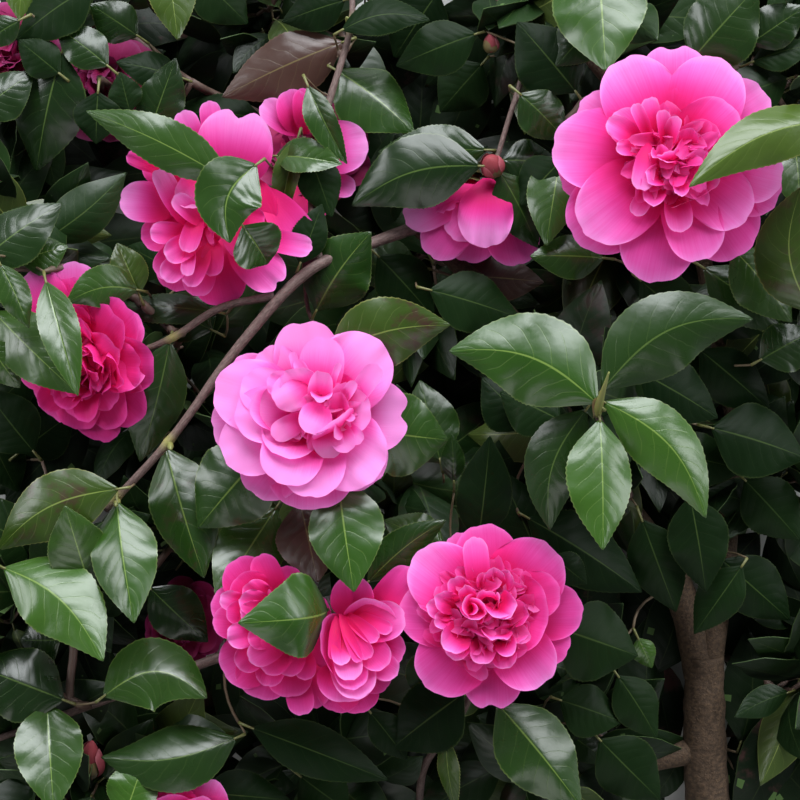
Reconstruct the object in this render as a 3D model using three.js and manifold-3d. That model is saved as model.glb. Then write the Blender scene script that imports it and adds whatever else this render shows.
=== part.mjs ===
// A cut bough of a flowering camellia, lying on a level surface.
// Millimetres, +Z up. The origin is on the surface, under the middle of the
// bough's box. Wood: one main stem with a flat cut end, three limbs that leave
// it and the branches that leave those. Each large bloom is one solid, and the
// leaves are closed, uneven masses that fill the room between limbs and blooms.

import * as THREE from 'three';
import Module from 'manifold-3d';

const wasm = await Module();
wasm.setup();

// ---------------------------------------------------------------- sizes

const GAP = 0.35;            // clear space left between neighbouring solids
const PLAN_HEIGHT = 1250;    // the layout is drawn on a plan seen from this height
const PLAN_UNIT = 2180;      // plan units in one viewing distance
const PLAN_MIDDLE = 400;     // plan coordinate straight below the viewpoint
const SHIFT = [-0.88, 0.75];  // moves the layout, so that its box is centred on the origin

const STEM_SIDES = 12;       // facets round the main stem
const LIMB_SIDES = 7;        // facets round a limb
const BRANCH_SIDES = 5;      // facets round a branch
const STEP = 46;             // distance between rings along a limb

const STEM_RADIUS_CUT = 13.2;
const STEM_RADIUS_FORK = 11.2;
const LIMB_RADIUS = { left: [9.0, 4.2], right: [8.4, 3.2], low: [6.6, 3.0] };
const BRANCH_RADIUS = {
  a: [3.4, 1.8], b: [2.3, 1.6], c: [2.3, 1.5], d: [1.9, 1.2],
  e: [4.4, 1.6], f: [2.3, 1.8], whorl: [2.8, 1.8],
};

const MASS_UNEVEN = 0.13;    // how far a mass swells and sinks, share of its radius
const MASS_DETAIL = 2;       // subdivisions of a mass's icosahedron
const BLOOM_AROUND = 12;     // facets round a bloom
const BLOOM_LOBE = 0.07;     // how deep the rim is lobed, share of the radius
const RIM_WAVE = 0.05;       // how far the rim waves up and down, share of the depth
const NECK = 3.2;            // radius of a bloom's neck, where it meets its stalk
const ROOM_ROUND_LIMB = 5;   // sides of the channel that a mass leaves for a limb
const ROOM_ROUND_BLOOM = 8;  // sides of the hollow that a mass leaves for a bloom

// ------------------------------------------------------------- placing

// A point of the plan (u to the right, v downwards) at height z.
function at(u, v, z) {
  const k = (PLAN_HEIGHT - z) / PLAN_UNIT;
  return new THREE.Vector3((u - PLAN_MIDDLE) * k + SHIFT[0], (PLAN_MIDDLE - v) * k + SHIFT[1], z);
}

function way(...points) {
  return new THREE.CatmullRomCurve3(points.map((p) => at(...p)), false, 'centripetal');
}

// The wood. Each limb is one tapering solid between the points it passes.
const WOOD = [
  ['main_stem', way([709, 885, 17], [708, 820, 26], [705, 745, 36], [704, 655, 45]),
    [STEM_RADIUS_CUT, STEM_RADIUS_FORK], STEM_SIDES],
  ['limb_left', way([703, 672, 43], [675, 580, 50], [600, 470, 60], [520, 330, 75], [412, 222, 100]),
    LIMB_RADIUS.left, LIMB_SIDES],
  ['limb_right', way([705, 672, 43], [722, 560, 50], [728, 450, 60], [712, 300, 70], [665, 150, 80], [590, 60, 92]),
    LIMB_RADIUS.right, LIMB_SIDES],
  ['limb_low', way([705, 748, 36], [600, 772, 40], [420, 812, 48], [250, 800, 52], [120, 768, 52]),
    LIMB_RADIUS.low, LIMB_SIDES],
  ['branch_a', way([420, 226, 99], [372, 243, 110], [310, 270, 124], [240, 345, 132], [170, 440, 135], [105, 510, 125]),
    BRANCH_RADIUS.a, BRANCH_SIDES],
  ['branch_b', way([274, 296, 127], [220, 308, 125], [172, 338, 122], [128, 356, 118]),
    BRANCH_RADIUS.b, BRANCH_SIDES],
  ['branch_c', way([320, 266, 121], [312, 200, 116], [325, 118, 112], [351, 25, 100], [352, -20, 92]),
    BRANCH_RADIUS.c, BRANCH_SIDES],
  ['branch_d', way([596, 66, 91], [560, 40, 98], [530, 62, 105], [515, 100, 112], [494, 168, 118]),
    BRANCH_RADIUS.d, BRANCH_SIDES],
  ['branch_e', way([644, 526, 53], [540, 560, 62], [400, 600, 76], [212, 660, 96], [97, 703, 95], [-40, 752, 80]),
    BRANCH_RADIUS.e, BRANCH_SIDES],
  ['branch_f', way([419, 812, 50], [425, 765, 70], [455, 725, 85], [478, 680, 104]),
    BRANCH_RADIUS.f, BRANCH_SIDES],
  ['whorl_twig', way([640, 520, 55], [618, 470, 105], [598, 416, 172]),
    BRANCH_RADIUS.whorl, BRANCH_SIDES],
];

// The large blooms: middle, radius, depth from neck to face, the way it faces
// and how many outer petals make the lobes of its rim.
const BLOOMS = [
  ['bloom_front_left', at(312, 412, 152), 47, 52, [0.04, -0.10, 1.0], 9],
  ['bloom_upper_right', at(668, 162, 156), 56, 56, [-0.02, 0.02, 1.0], 9],
  ['bloom_lower_middle', at(490, 614, 142), 45, 44, [-0.04, 0.04, 1.0], 8],
  ['bloom_pair_left', at(276, 634, 132), 40, 40, [-0.70, -0.10, 0.70], 8],
  ['bloom_pair_right', at(360, 640, 138), 29, 46, [0.46, -0.30, 0.83], 6],
  ['bloom_far_left', at(82, 362, 120), 44, 40, [-0.42, -0.30, 0.85], 8],
  ['bloom_upper_left', at(212, 205, 126), 47, 42, [-0.50, -0.16, 0.85], 8],
  ['bloom_behind_stem', at(314, 150, 84), 32, 34, [0.05, 0.25, 0.97], 7],
  ['bloom_drooping', at(470, 206, 96), 34, 36, [-0.12, -0.92, 0.10], 7],
  ['bloom_corner', at(8, 52, 62), 38, 32, [-0.30, 0.30, 0.90], 7],
  ['bloom_deep_left', at(110, 86, 58), 32, 30, [-0.10, 0.20, 0.97], 7],
  ['bloom_bottom', at(190, 836, 100), 38, 40, [-0.10, -0.52, 0.85], 8],
  ['bloom_deep_low', at(184, 622, 66), 25, 26, [-0.30, 0.10, 0.95], 7],
];

// The masses of leaves: middle on the plan, half width, half depth and top.
// All of them lie on the surface; a share of the top is the height of the middle.
const MASS_MIDDLE = 0.42;
const MASSES = [
  ['foliage_top_left', 46, 56, 72, 70, 108],
  ['foliage_top_middle', 268, 22, 66, 62, 122],
  ['foliage_top_right', 560, 8, 80, 58, 132],
  ['foliage_upper_right', 800, 96, 60, 80, 192],
  ['foliage_upper_middle', 412, 268, 74, 62, 128],
  ['foliage_upper_inner', 622, 208, 56, 60, 112],
  ['foliage_right', 800, 300, 56, 62, 132],
  ['foliage_right_middle', 780, 474, 62, 58, 108],
  ['foliage_right_low', 812, 655, 46, 62, 84],
  ['foliage_whorl', 606, 424, 64, 66, 190],
  ['foliage_left', 2, 246, 60, 66, 150],
  ['foliage_left_inner', 178, 372, 58, 58, 104],
  ['foliage_lower_left', 26, 590, 70, 70, 146],
  ['foliage_middle', 392, 490, 70, 52, 138],
  ['foliage_middle_left', 182, 538, 46, 44, 120],
  ['foliage_bottom_left', 88, 770, 74, 58, 128],
  ['foliage_bottom_middle', 330, 776, 66, 56, 104],
  ['foliage_bottom_right', 560, 728, 70, 68, 118],
];

// ------------------------------------------------------------- shaping

// Repeatable pseudo-random numbers for one named solid.
function noiseOf(name) {
  let s = 7;
  for (const c of name) s = (s * 31 + c.charCodeAt(0)) % 99991;
  return () => {
    s = (s * 4096 + 150889) % 714025;
    return s / 714025;
  };
}

function toManifold(positions, triangles) {
  return new wasm.Manifold(new wasm.Mesh({
    numProp: 3,
    vertProperties: Float32Array.from(positions),
    triVerts: Uint32Array.from(triangles),
  }));
}

// A limb: rings of one taper along a curve, a flat cut at its foot.
function limb(name, curve, [r0, r1], sides, grow = 0) {
  const length = curve.getLength();
  const steps = Math.max(3, Math.round(length / STEP));
  const rnd = noiseOf(name);
  const pos = [];
  const tri = [];
  let side = new THREE.Vector3(0, 0, 1);
  for (let i = 0; i <= steps; i++) {
    const t = i / steps;
    let p = curve.getPointAt(t);
    const d = curve.getTangentAt(t);
    if (i === 0) p = p.clone().addScaledVector(d, -grow);
    if (i === steps) p = p.clone().addScaledVector(d, grow);
    side = side.clone().addScaledVector(d, -side.dot(d)).normalize();
    const up = new THREE.Vector3().crossVectors(d, side);
    const swell = 1 + 0.05 * (rnd() - 0.5);
    const r = (r0 + (r1 - r0) * t) * swell + grow;
    for (let k = 0; k < sides; k++) {
      const a = (2 * Math.PI * k) / sides;
      pos.push(
        p.x + r * (Math.cos(a) * side.x + Math.sin(a) * up.x),
        p.y + r * (Math.cos(a) * side.y + Math.sin(a) * up.y),
        p.z + r * (Math.cos(a) * side.z + Math.sin(a) * up.z));
    }
  }
  for (let i = 0; i < steps; i++) {
    for (let k = 0; k < sides; k++) {
      const a = i * sides + k, b = i * sides + ((k + 1) % sides);
      tri.push(a, b, b + sides, a, b + sides, a + sides);
    }
  }
  for (let k = 1; k < sides - 1; k++) {
    tri.push(0, k + 1, k);
    const e = steps * sides;
    tri.push(e, e + k, e + k + 1);
  }
  return toManifold(pos, tri);
}

// A bloom: a lobed bowl on a narrow neck, its face domed by the inner petals.
function bloom(name, middle, radius, depth, facing, lobes, around, grow = 0) {
  const axis = new THREE.Vector3(...facing).normalize();
  const frame = new THREE.Quaternion().setFromUnitVectors(new THREE.Vector3(0, 0, 1), axis);
  const rnd = noiseOf(name);
  const turn = rnd() * 2 * Math.PI;
  // Share of the radius and of the depth, from the neck out to the rim and in.
  const profile = [[0.0, -0.5], [NECK / radius, -0.5], [0.36, -0.34], [0.92, 0.03],
    [1.0, 0.17], [0.66, 0.36], [0.32, 0.47], [0.0, 0.5]];
  const pos = [];
  const tri = [];
  const rings = [];
  for (const [i, [share, height]] of profile.entries()) {
    const out = i < profile.findIndex(([s]) => s === 1) ? -1 : 1;   // under the rim or over it
    const ring = [];
    const count = share === 0 ? 1 : around;
    for (let k = 0; k < count; k++) {
      const a = (2 * Math.PI * k) / around;
      const lobe = lobes ? 1 + BLOOM_LOBE * share * Math.cos(lobes * a + turn) : 1;
      const r = share * radius * lobe + (share === 0 ? 0 : grow);
      const wave = lobes ? RIM_WAVE * depth * share * Math.sin(3 * a + turn) : 0;
      const p = new THREE.Vector3(r * Math.cos(a), r * Math.sin(a),
        height * depth + wave + out * grow).applyQuaternion(frame).add(middle);
      ring.push(pos.length / 3);
      pos.push(p.x, p.y, Math.max(p.z, 0.6));
    }
    rings.push(ring);
  }
  for (let i = 0; i + 1 < rings.length; i++) {
    const [a, b] = [rings[i], rings[i + 1]];
    for (let k = 0; k < around; k++) {
      const n = (k + 1) % around;
      if (a.length === 1) tri.push(a[0], b[n], b[k]);
      else if (b.length === 1) tri.push(a[k], a[n], b[0]);
      else tri.push(a[k], a[n], b[n], a[k], b[n], b[k]);
    }
  }
  return toManifold(pos, tri);
}

// A mass of leaves: a rounded lump that swells and sinks, flat where it lies.
function mass(name, u, v, halfWidth, halfDepth, top, grow = 0) {
  const rnd = noiseOf(name);
  const waves = Array.from({ length: 5 }, () => ({
    d: new THREE.Vector3(rnd() - 0.5, rnd() - 0.5, rnd() - 0.5).normalize(),
    f: 2.2 + 2.4 * rnd(),
    p: 2 * Math.PI * rnd(),
  }));
  const middle = at(u, v, top * MASS_MIDDLE);
  const height = top * (1 - MASS_MIDDLE);
  const ico = new THREE.IcosahedronGeometry(1, MASS_DETAIL);
  const src = ico.attributes.position;
  const seen = new Map();
  const pos = [];
  const tri = [];
  for (let i = 0; i < src.count; i++) {
    const n = new THREE.Vector3().fromBufferAttribute(src, i).normalize();
    const key = [n.x, n.y, n.z].map((c) => Math.round(c * 1e4)).join();
    if (!seen.has(key)) {
      seen.set(key, pos.length / 3);
      let s = 0;
      for (const w of waves) s += Math.sin(w.f * w.d.dot(n) * 2 + w.p) / waves.length;
      // A squarer lump than a ball, so that neighbours fill the bough between them.
      const m = Math.pow(Math.abs(n.x) ** 2.6 + Math.abs(n.y) ** 2.6 + Math.abs(n.z) ** 2.6, 1 / 2.6);
      const k = (1 + MASS_UNEVEN * 1.6 * s) / m;
      const x = middle.x + n.x * (halfWidth * k + grow);
      const y = middle.y + n.y * (halfDepth * k + grow);
      const z = middle.z + n.z * (height * Math.min(k, 1.02) + grow);
      pos.push(x, y, Math.max(z, 0));
    }
    tri.push(seen.get(key));
  }
  return toManifold(pos, tri);
}

function largest(solid) {
  let best = null;
  for (const piece of solid.decompose()) {
    if (!best || piece.volume() > best.volume()) best = piece;
  }
  return best;
}

function bounds(solid) {
  const b = solid.boundingBox();
  return [b.min, b.max];
}

function meet(a, b) {
  const [al, ah] = bounds(a);
  const [bl, bh] = bounds(b);
  return [0, 1, 2].every((i) => al[i] <= bh[i] && bl[i] <= ah[i]);
}

// ------------------------------------------------------------ assembly

const materials = {
  bark: new THREE.MeshStandardMaterial({ color: 0x7b6358, roughness: 0.85, metalness: 0 }),
  twig: new THREE.MeshStandardMaterial({ color: 0x8a5a50, roughness: 0.75, metalness: 0 }),
  petal: new THREE.MeshStandardMaterial({ color: 0xe66fae, roughness: 0.7, metalness: 0 }),
  leaf: new THREE.MeshStandardMaterial({ color: 0x35502c, roughness: 0.45, metalness: 0 }),
};

const group = new THREE.Group();
const placed = [];   // every finished solid, with the same solid grown by the gap

// A solid gives way to the ones placed before it, and keeps its largest piece.
// The room that it leaves for each is the fitted one, or the plainer, wider one.
function place(name, material, make, room, plainer) {
  let solid = make;
  for (const other of placed) {
    const cut = other[plainer] || other.fitted;
    if (meet(solid, cut)) solid = solid.subtract(cut);
  }
  solid = largest(solid);
  placed.push({ name, ...room });
  const m = solid.getMesh();
  const geometry = new THREE.BufferGeometry();
  geometry.setAttribute('position', new THREE.BufferAttribute(Float32Array.from(m.vertProperties), 3));
  geometry.setIndex(new THREE.BufferAttribute(Uint32Array.from(m.triVerts), 1));
  geometry.computeVertexNormals();
  const mesh = new THREE.Mesh(geometry, material);
  mesh.name = name;
  group.add(mesh);
}

for (const [name, curve, radii, sides] of WOOD) {
  const wider = radii.map((r) => r / Math.cos(Math.PI / ROOM_ROUND_LIMB));
  place(name, name.startsWith('branch') || name.endsWith('twig') ? materials.twig : materials.bark,
    limb(name, curve, radii, sides),
    { fitted: limb(name, curve, radii, sides, GAP), wide: limb(name, curve, wider, ROOM_ROUND_LIMB, GAP) });
}
for (const [name, middle, radius, depth, facing, lobes] of BLOOMS) {
  const wider = (radius * (1 + BLOOM_LOBE)) / Math.cos(Math.PI / ROOM_ROUND_BLOOM);
  place(name, materials.petal, bloom(name, middle, radius, depth, facing, lobes, BLOOM_AROUND), {
    fitted: bloom(name, middle, radius, depth, facing, lobes, BLOOM_AROUND, GAP),
    wide: bloom(name, middle, wider, depth, facing, 0, ROOM_ROUND_BLOOM, RIM_WAVE * depth + GAP),
  });
}
for (const [name, ...sizes] of MASSES) {
  place(name, materials.leaf, mass(name, ...sizes), { fitted: mass(name, ...sizes, GAP) }, 'wide');
}

export default group;
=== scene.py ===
# A cut, flowering camellia bough lying on a pale floor, seen from straight above.
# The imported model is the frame; the meshes here stand for its solids. Sizes are
# worked out in millimetres and written to the meshes in metres.

import math

import bpy
import numpy as np
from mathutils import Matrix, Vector


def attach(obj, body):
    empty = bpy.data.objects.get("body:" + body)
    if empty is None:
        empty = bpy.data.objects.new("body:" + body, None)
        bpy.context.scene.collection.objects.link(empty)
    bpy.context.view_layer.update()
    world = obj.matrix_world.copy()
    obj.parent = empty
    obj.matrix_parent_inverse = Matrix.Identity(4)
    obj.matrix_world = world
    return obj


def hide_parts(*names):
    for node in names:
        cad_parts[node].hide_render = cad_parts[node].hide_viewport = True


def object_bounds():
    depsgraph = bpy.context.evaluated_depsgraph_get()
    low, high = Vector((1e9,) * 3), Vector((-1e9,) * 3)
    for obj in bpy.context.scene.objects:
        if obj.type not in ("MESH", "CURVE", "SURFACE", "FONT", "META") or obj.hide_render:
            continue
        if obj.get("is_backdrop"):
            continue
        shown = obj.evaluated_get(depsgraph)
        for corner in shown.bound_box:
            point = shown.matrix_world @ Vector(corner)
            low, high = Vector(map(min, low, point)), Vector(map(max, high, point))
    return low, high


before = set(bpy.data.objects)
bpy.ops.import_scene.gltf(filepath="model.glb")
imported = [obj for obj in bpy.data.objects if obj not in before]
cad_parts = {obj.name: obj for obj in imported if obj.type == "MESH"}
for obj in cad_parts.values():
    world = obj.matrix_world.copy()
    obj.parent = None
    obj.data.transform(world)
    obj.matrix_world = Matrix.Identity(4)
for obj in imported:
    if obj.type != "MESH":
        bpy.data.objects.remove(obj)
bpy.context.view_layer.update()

# ------------------------------------------------------------------ layout

VIEW_H, UNIT, MID = 1250.0, 2180.0, 400.0   # the plan that the bough is laid out on
SHIFT = np.array([-0.88, 0.75, 0.0])


def at(u, v, z):
    """A point of the plan at height z, in millimetres."""
    k = (VIEW_H - z) / UNIT
    return np.array([(u - MID) * k, (MID - v) * k, z]) + SHIFT


def plan(p):
    """The plan place of points in millimetres."""
    p = np.asarray(p, float)
    k = (VIEW_H - p[..., 2]) / UNIT
    return np.stack([(p[..., 0] - SHIFT[0]) / k + MID, MID - (p[..., 1] - SHIFT[1]) / k], -1)


def unit(v):
    v = np.asarray(v, float)
    return v / np.maximum(np.linalg.norm(v, axis=-1, keepdims=True), 1e-12)


def smooth(a, b, x):
    t = np.clip((np.asarray(x, float) - a) / (b - a), 0, 1)
    return t * t * (3 - 2 * t)


def vnoise(p, seed=0):
    """Smooth value noise of points, from -1 to 1."""
    p = np.asarray(p, float)
    i = np.floor(p).astype(np.int64)
    f = p - i
    f = f * f * (3 - 2 * f)
    out = 0.0
    for dx in (0, 1):
        for dy in (0, 1):
            for dz in (0, 1):
                n = (i[..., 0] + dx) * 374761393 + (i[..., 1] + dy) * 668265263 + (i[..., 2] + dz) * 2147483647 + seed * 974634777
                n = (n ^ (n >> 13)) * 1274126177
                n = ((n ^ (n >> 16)) & 0xFFFFF) / float(0xFFFFF) * 2 - 1
                w = (f[..., 0] if dx else 1 - f[..., 0]) * (f[..., 1] if dy else 1 - f[..., 1]) * (f[..., 2] if dz else 1 - f[..., 2])
                out = out + n * w
    return out


def turned(v, axis, angle):
    """v turned about a unit axis."""
    c, s = np.cos(angle)[..., None] if np.ndim(angle) else math.cos(angle), np.sin(angle)[..., None] if np.ndim(angle) else math.sin(angle)
    return v * c + np.cross(axis, v) * s + axis * (np.sum(axis * v, -1, keepdims=True)) * (1 - c)


def spline(points, step=3.0):
    """Evenly stepped points of a centripetal spline, as the frame's limbs have it."""
    p = np.asarray(points, float)
    p = np.vstack([2 * p[0] - p[1], p, 2 * p[-1] - p[-2]])
    out = []
    for i in range(1, len(p) - 2):
        a, b, c, d = p[i - 1], p[i], p[i + 1], p[i + 2]
        d0, d1, d2 = (max(np.linalg.norm(y - x), 1e-6) ** 0.5 for x, y in ((a, b), (b, c), (c, d)))
        t1 = ((b - a) / d0 - (c - a) / (d0 + d1) + (c - b) / d1) * d1
        t2 = ((c - b) / d1 - (d - b) / (d1 + d2) + (d - c) / d2) * d1
        t = np.linspace(0, 1, 40, endpoint=False)[:, None]
        out.append(b + t * t1 + t * t * (-3 * b + 3 * c - 2 * t1 - t2) + t ** 3 * (2 * b - 2 * c + t1 + t2))
    out = np.vstack(out + [p[-2][None]])
    length = np.r_[0, np.cumsum(np.linalg.norm(np.diff(out, axis=0), axis=1))]
    n = max(3, int(round(length[-1] / step)))
    s = np.linspace(0, length[-1], n + 1)
    return np.stack([np.interp(s, length, out[:, k]) for k in range(3)], -1)


# ------------------------------------------------------------ mesh making

class Pile:
    """Sheets and rings that are joined into one mesh. Each has its own tile of the piece's map."""

    def __init__(self):
        self.co, self.tone, self.rim = [], [], []
        self.quads, self.local, self.tile, self.island = [], [], [], []
        self.n = self.islands = 0

    def add(self, co, tone, rim, quads, local, tile):
        self.co.append(co.reshape(-1, 3))
        self.tone.append(tone.reshape(-1, 3))
        self.rim.append(rim.reshape(-1))
        self.quads.append(quads + self.n)
        self.local.append(local)
        self.tile.append(tile)
        self.island.append(np.full(len(quads), self.islands))
        self.n += co.reshape(-1, 3).shape[0]
        self.islands += 1

    def sheet(self, co, local, tone):
        a, b = co.shape[:2]
        idx = np.arange(a * b).reshape(a, b)
        def corners(x):
            return np.stack([x[:-1, :-1], x[:-1, 1:], x[1:, 1:], x[1:, :-1]], 2).reshape((a - 1) * (b - 1), 4, *x.shape[2:])
        y, x = np.mgrid[0:a, 0:b]
        tile = np.stack([x / (b - 1), y / (a - 1)], -1)
        self.add(co, tone, np.zeros((a, b), bool), corners(idx), corners(local), corners(tile))

    def ring(self, co, local, tone, rim=None, cap_tone=None):
        """A closed skin: rows along it, columns round it, and a flat strip over each end."""
        a, b = co.shape[:2]
        idx = np.arange(a * b).reshape(a, b)
        idx = np.concatenate([idx, idx[:, :1]], 1)
        if local.shape[1] == b:
            local = np.concatenate([local, local[:, :1]], 1)
        def corners(x):
            return np.stack([x[:-1, :-1], x[:-1, 1:], x[1:, 1:], x[1:, :-1]], 2).reshape((a - 1) * b, 4, *x.shape[2:])
        y, x = np.mgrid[0:a, 0:b + 1]
        tile = np.stack([x / b, 0.04 + 0.92 * y / (a - 1)], -1)
        quads, loc, til = [corners(idx)], [corners(local)], [corners(tile)]
        half = b // 2
        j = np.arange(half - 1)
        for row, low, high, back in ((0, 0.03, 0.0, True), (a - 1, 0.97, 1.0, False)):
            one, two, three, four = j, j + 1, b - 2 - j, b - 1 - j
            if back:
                one, two, three, four = two, one, four, three
            q = np.stack([row * b + one, row * b + two, row * b + three, row * b + four], 1)
            quads.append(q)
            loc.append(np.stack([local[row, k] for k in (one, two, three, four)], 1))
            edge = {0: low, 1: low, 2: high, 3: high}
            til.append(np.stack([np.stack([k / b, np.full(len(k), edge[n])], -1)
                                 for n, k in enumerate((one, two, b - 1 - three, b - 1 - four))], 1))
        if rim is None:
            rim = np.zeros((a, b), bool)
        self.add(co, tone, rim, np.concatenate(quads), np.concatenate(loc), np.concatenate(til))

    def make(self, name, material):
        co = np.concatenate(self.co) * 0.001
        tone = np.concatenate(self.tone)
        rim = np.concatenate(self.rim)
        quads = np.concatenate(self.quads).astype(np.int32)
        local = np.concatenate(self.local)
        tile = np.concatenate(self.tile)
        island = np.concatenate(self.island)
        across = math.ceil(math.sqrt(self.islands))
        down = math.ceil(self.islands / across)
        cell = np.stack([island % across, island // across], -1)[:, None, :]
        pad = 0.03
        atlas = (cell + pad + tile * (1 - 2 * pad)) / np.array([across, down])
        me = bpy.data.meshes.new(name)
        me.vertices.add(len(co))
        me.vertices.foreach_set("co", co.astype(np.float32).ravel())
        me.loops.add(quads.size)
        me.loops.foreach_set("vertex_index", quads.ravel())
        me.polygons.add(len(quads))
        me.polygons.foreach_set("loop_start", np.arange(0, quads.size, 4, dtype=np.int32))
        me.update(calc_edges=True)
        me.polygons.foreach_set("use_smooth", np.ones(len(quads), bool))
        for layer, values in (("Local", local), ("OFBake", atlas)):
            uv = me.uv_layers.new(name=layer)
            uv.data.foreach_set("uv", values.astype(np.float32).ravel())
        colour = me.color_attributes.new("Tone", "FLOAT_COLOR", "POINT")
        colour.data.foreach_set("color", np.c_[tone, np.ones(len(tone))].astype(np.float32).ravel())
        if rim.any():
            ends = np.empty(len(me.edges) * 2, np.int32)
            me.edges.foreach_get("vertices", ends)
            sharp = rim[ends.reshape(-1, 2)].all(1)
            hard = me.attributes.new("sharp_edge", "BOOLEAN", "EDGE")
            hard.data.foreach_set("value", sharp)
        me.update()
        me.materials.append(material)
        ob = bpy.data.objects.new(name, me)
        bpy.context.scene.collection.objects.link(ob)
        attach(ob, "root")
        counted[name] = len(quads) * 2
        return ob


counted = {}


def tube(pile, path, radius, sides=8, tone=(0.5, 0.5, 0.0), bumps=0.0, seed=0, bump_scale=6.0, close=True, hold=None):
    """A round limb along a path. radius is one number a point. bumps roughens it."""
    path = np.asarray(path, float)
    n = len(path)
    radius = np.broadcast_to(np.asarray(radius, float), (n,))
    d = unit(np.gradient(path, axis=0))
    side = np.zeros_like(path)
    s = np.array([0.0, 0.0, 1.0]) if abs(d[0, 2]) < 0.9 else np.array([1.0, 0.0, 0.0])
    for i in range(n):
        s = unit(s - d[i] * np.dot(s, d[i]))
        side[i] = s
    up = np.cross(d, side)
    a = 2 * np.pi * np.arange(sides) / sides
    out = np.cos(a)[None, :, None] * side[:, None] + np.sin(a)[None, :, None] * up[:, None]
    r = radius[:, None] * np.ones((1, sides))
    if bumps:
        along = np.r_[0, np.cumsum(np.linalg.norm(np.diff(path, axis=0), axis=1))]
        q = path[:, None] + out * r[..., None]
        r = r + bumps * (0.7 * vnoise(q / bump_scale, seed) + 0.45 * vnoise(q / (bump_scale * 0.35), seed + 1))
    co = path[:, None] + out * r[..., None]
    along = np.r_[0, np.cumsum(np.linalg.norm(np.diff(path, axis=0), axis=1))]
    local = np.stack(np.broadcast_arrays(np.arange(sides + 1)[None] / sides, along[:, None] / 100.0), -1)
    tones = np.broadcast_to(np.asarray(tone, float), (n, sides, 3)) if np.ndim(tone) == 1 else np.repeat(np.asarray(tone, float)[:, None], sides, 1)
    pile.ring(co, local, np.array(tones))


# ---------------------------------------------------------------- leaves

LEAF_S = np.array([0, .03, .08, .16, .26, .38, .5, .62, .73, .82, .89, .945, .98, 1.0])
LEAF_W = np.array([.05, .17, .37, .66, .89, 1.0, .985, .87, .675, .475, .295, .155, .07, .01])
HERO_T = np.array([-1, -.9, -.66, -.36, -.085, 0, .085, .36, .66, .9, 1])
FILL_T = np.array([-1, -.5, 0, .5, 1])


def leaf(pile, base, tip, width, rnd, normal=None, arch=0.08, fold=0.0, roll=0.0, bend=0.0, twist=0.0,
         wave=0.03, recurve=0.10, early=0.9, hero=True, blotch=0.0, tone=None, rows=None, full=0.0, thick=0.42):
    """One leaf: a thin closed skin from its base to its tip. Angles are in degrees, the rest shares of its size."""
    base, tip = np.asarray(base, float), np.asarray(tip, float)
    length = np.linalg.norm(tip - base)
    d0 = (tip - base) / length
    n0 = np.array([0.0, 0.0, 1.0]) if normal is None else np.asarray(normal, float)
    n0 = n0 - d0 * n0.dot(d0)
    if np.linalg.norm(n0) < 0.05:
        n0 = np.array([0.3, 1.0, 0.2]) - d0 * np.array([0.3, 1.0, 0.2]).dot(d0)
    n0 = turned(unit(n0), d0, math.radians(roll))
    s0 = np.cross(d0, n0)
    rows = rows or (46 if hero else 13)
    s = np.linspace(0, 1, rows + 1)
    if not hero:
        s = 0.5 * s + 0.5 * (0.5 - 0.5 * np.cos(np.pi * s))
    hump = np.sin(np.pi * s ** early)
    mid = base + d0 * length * s[:, None] + n0 * (arch * length * hump)[:, None] + s0 * (bend * length * np.sin(np.pi * s))[:, None]
    d = unit(np.gradient(mid, s, axis=0))
    n = unit(n0 - d * (d @ n0)[:, None])
    n = turned(n, d, np.radians(twist) * (s - 0.4))
    side = np.cross(d, n)
    t = HERO_T if hero else FILL_T
    half = 0.5 * width * np.interp(s, LEAF_S, LEAF_W)
    if full:
        half = half * (1 + full * np.sin(np.pi * s) ** 2)
    lean = 1 + rnd.uniform(-0.06, 0.06) * np.sign(t)
    tooth = np.zeros((rows + 1, 1))
    if hero:
        tooth[1:-1:2] = 1.0
        tooth = tooth * (smooth(0.1, 0.25, s) * (1 - smooth(0.95, 1.0, s)))[:, None] * rnd.uniform(0.30, 0.50)
    x = half[:, None] * t[None] * lean[None] + np.where(np.abs(t) > 0.99, np.sign(t), 0)[None] * tooth
    phase = rnd.uniform(0, 2 * np.pi, 4)
    f = np.radians(fold)
    ax = np.abs(x)
    y = ax * math.sin(f)
    # the margin turns down past the middle of each half, and waves
    y = y - recurve * half[:, None] * np.abs(t[None]) ** 2.6
    waves = np.sin(2 * np.pi * (1.7 * s[:, None] + 0.17 * np.sign(t)[None]) + phase[0]) + 0.5 * np.sin(2 * np.pi * 3.3 * s[:, None] + phase[1] + 1.7 * np.sign(t)[None])
    y = y + wave * width * waves * (np.abs(t[None]) ** 2) * np.sin(np.pi * np.clip(s, 0.02, 0.98))[:, None]
    if hero:
        y = y - 0.32 * (np.abs(t) < 0.05)[None] * (1 - 0.6 * s[:, None])           # the sunk midrib
        vein = np.sin(2 * np.pi * (8.5 * s[:, None] - 1.6 * np.abs(t)[None]) + phase[2])
        y = y + 0.09 * vein * (np.abs(t) > 0.2)[None] * (np.abs(t) < 0.8)[None] * np.sin(np.pi * s)[:, None]
    x = x * math.cos(f)
    top = mid[:, None] + side[:, None] * x[..., None] + n[:, None] * y[..., None]
    under = top - n[:, None] * thick
    co = np.concatenate([top, under[:, ::-1]], 1)
    m = len(t)
    lu = np.concatenate([t, t[::-1]]) * 0.5 + 0.5
    local = np.stack(np.broadcast_arrays(np.r_[lu, lu[:1]][None], s[:, None]), -1)
    tint = rnd.uniform(0, 1) if tone is None else tone
    tones = np.zeros((rows + 1, 2 * m, 3))
    tones[..., 0] = tint
    tones[..., 1] = blotch
    tones[:, m:, 2] = 1.0
    rim = np.zeros((rows + 1, 2 * m), bool)
    rim[:, [0, m - 1, m, 2 * m - 1]] = True
    pile.ring(co, local, tones, rim)
    return mid, n, top


# -------------------------------------------------------------- materials

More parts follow.
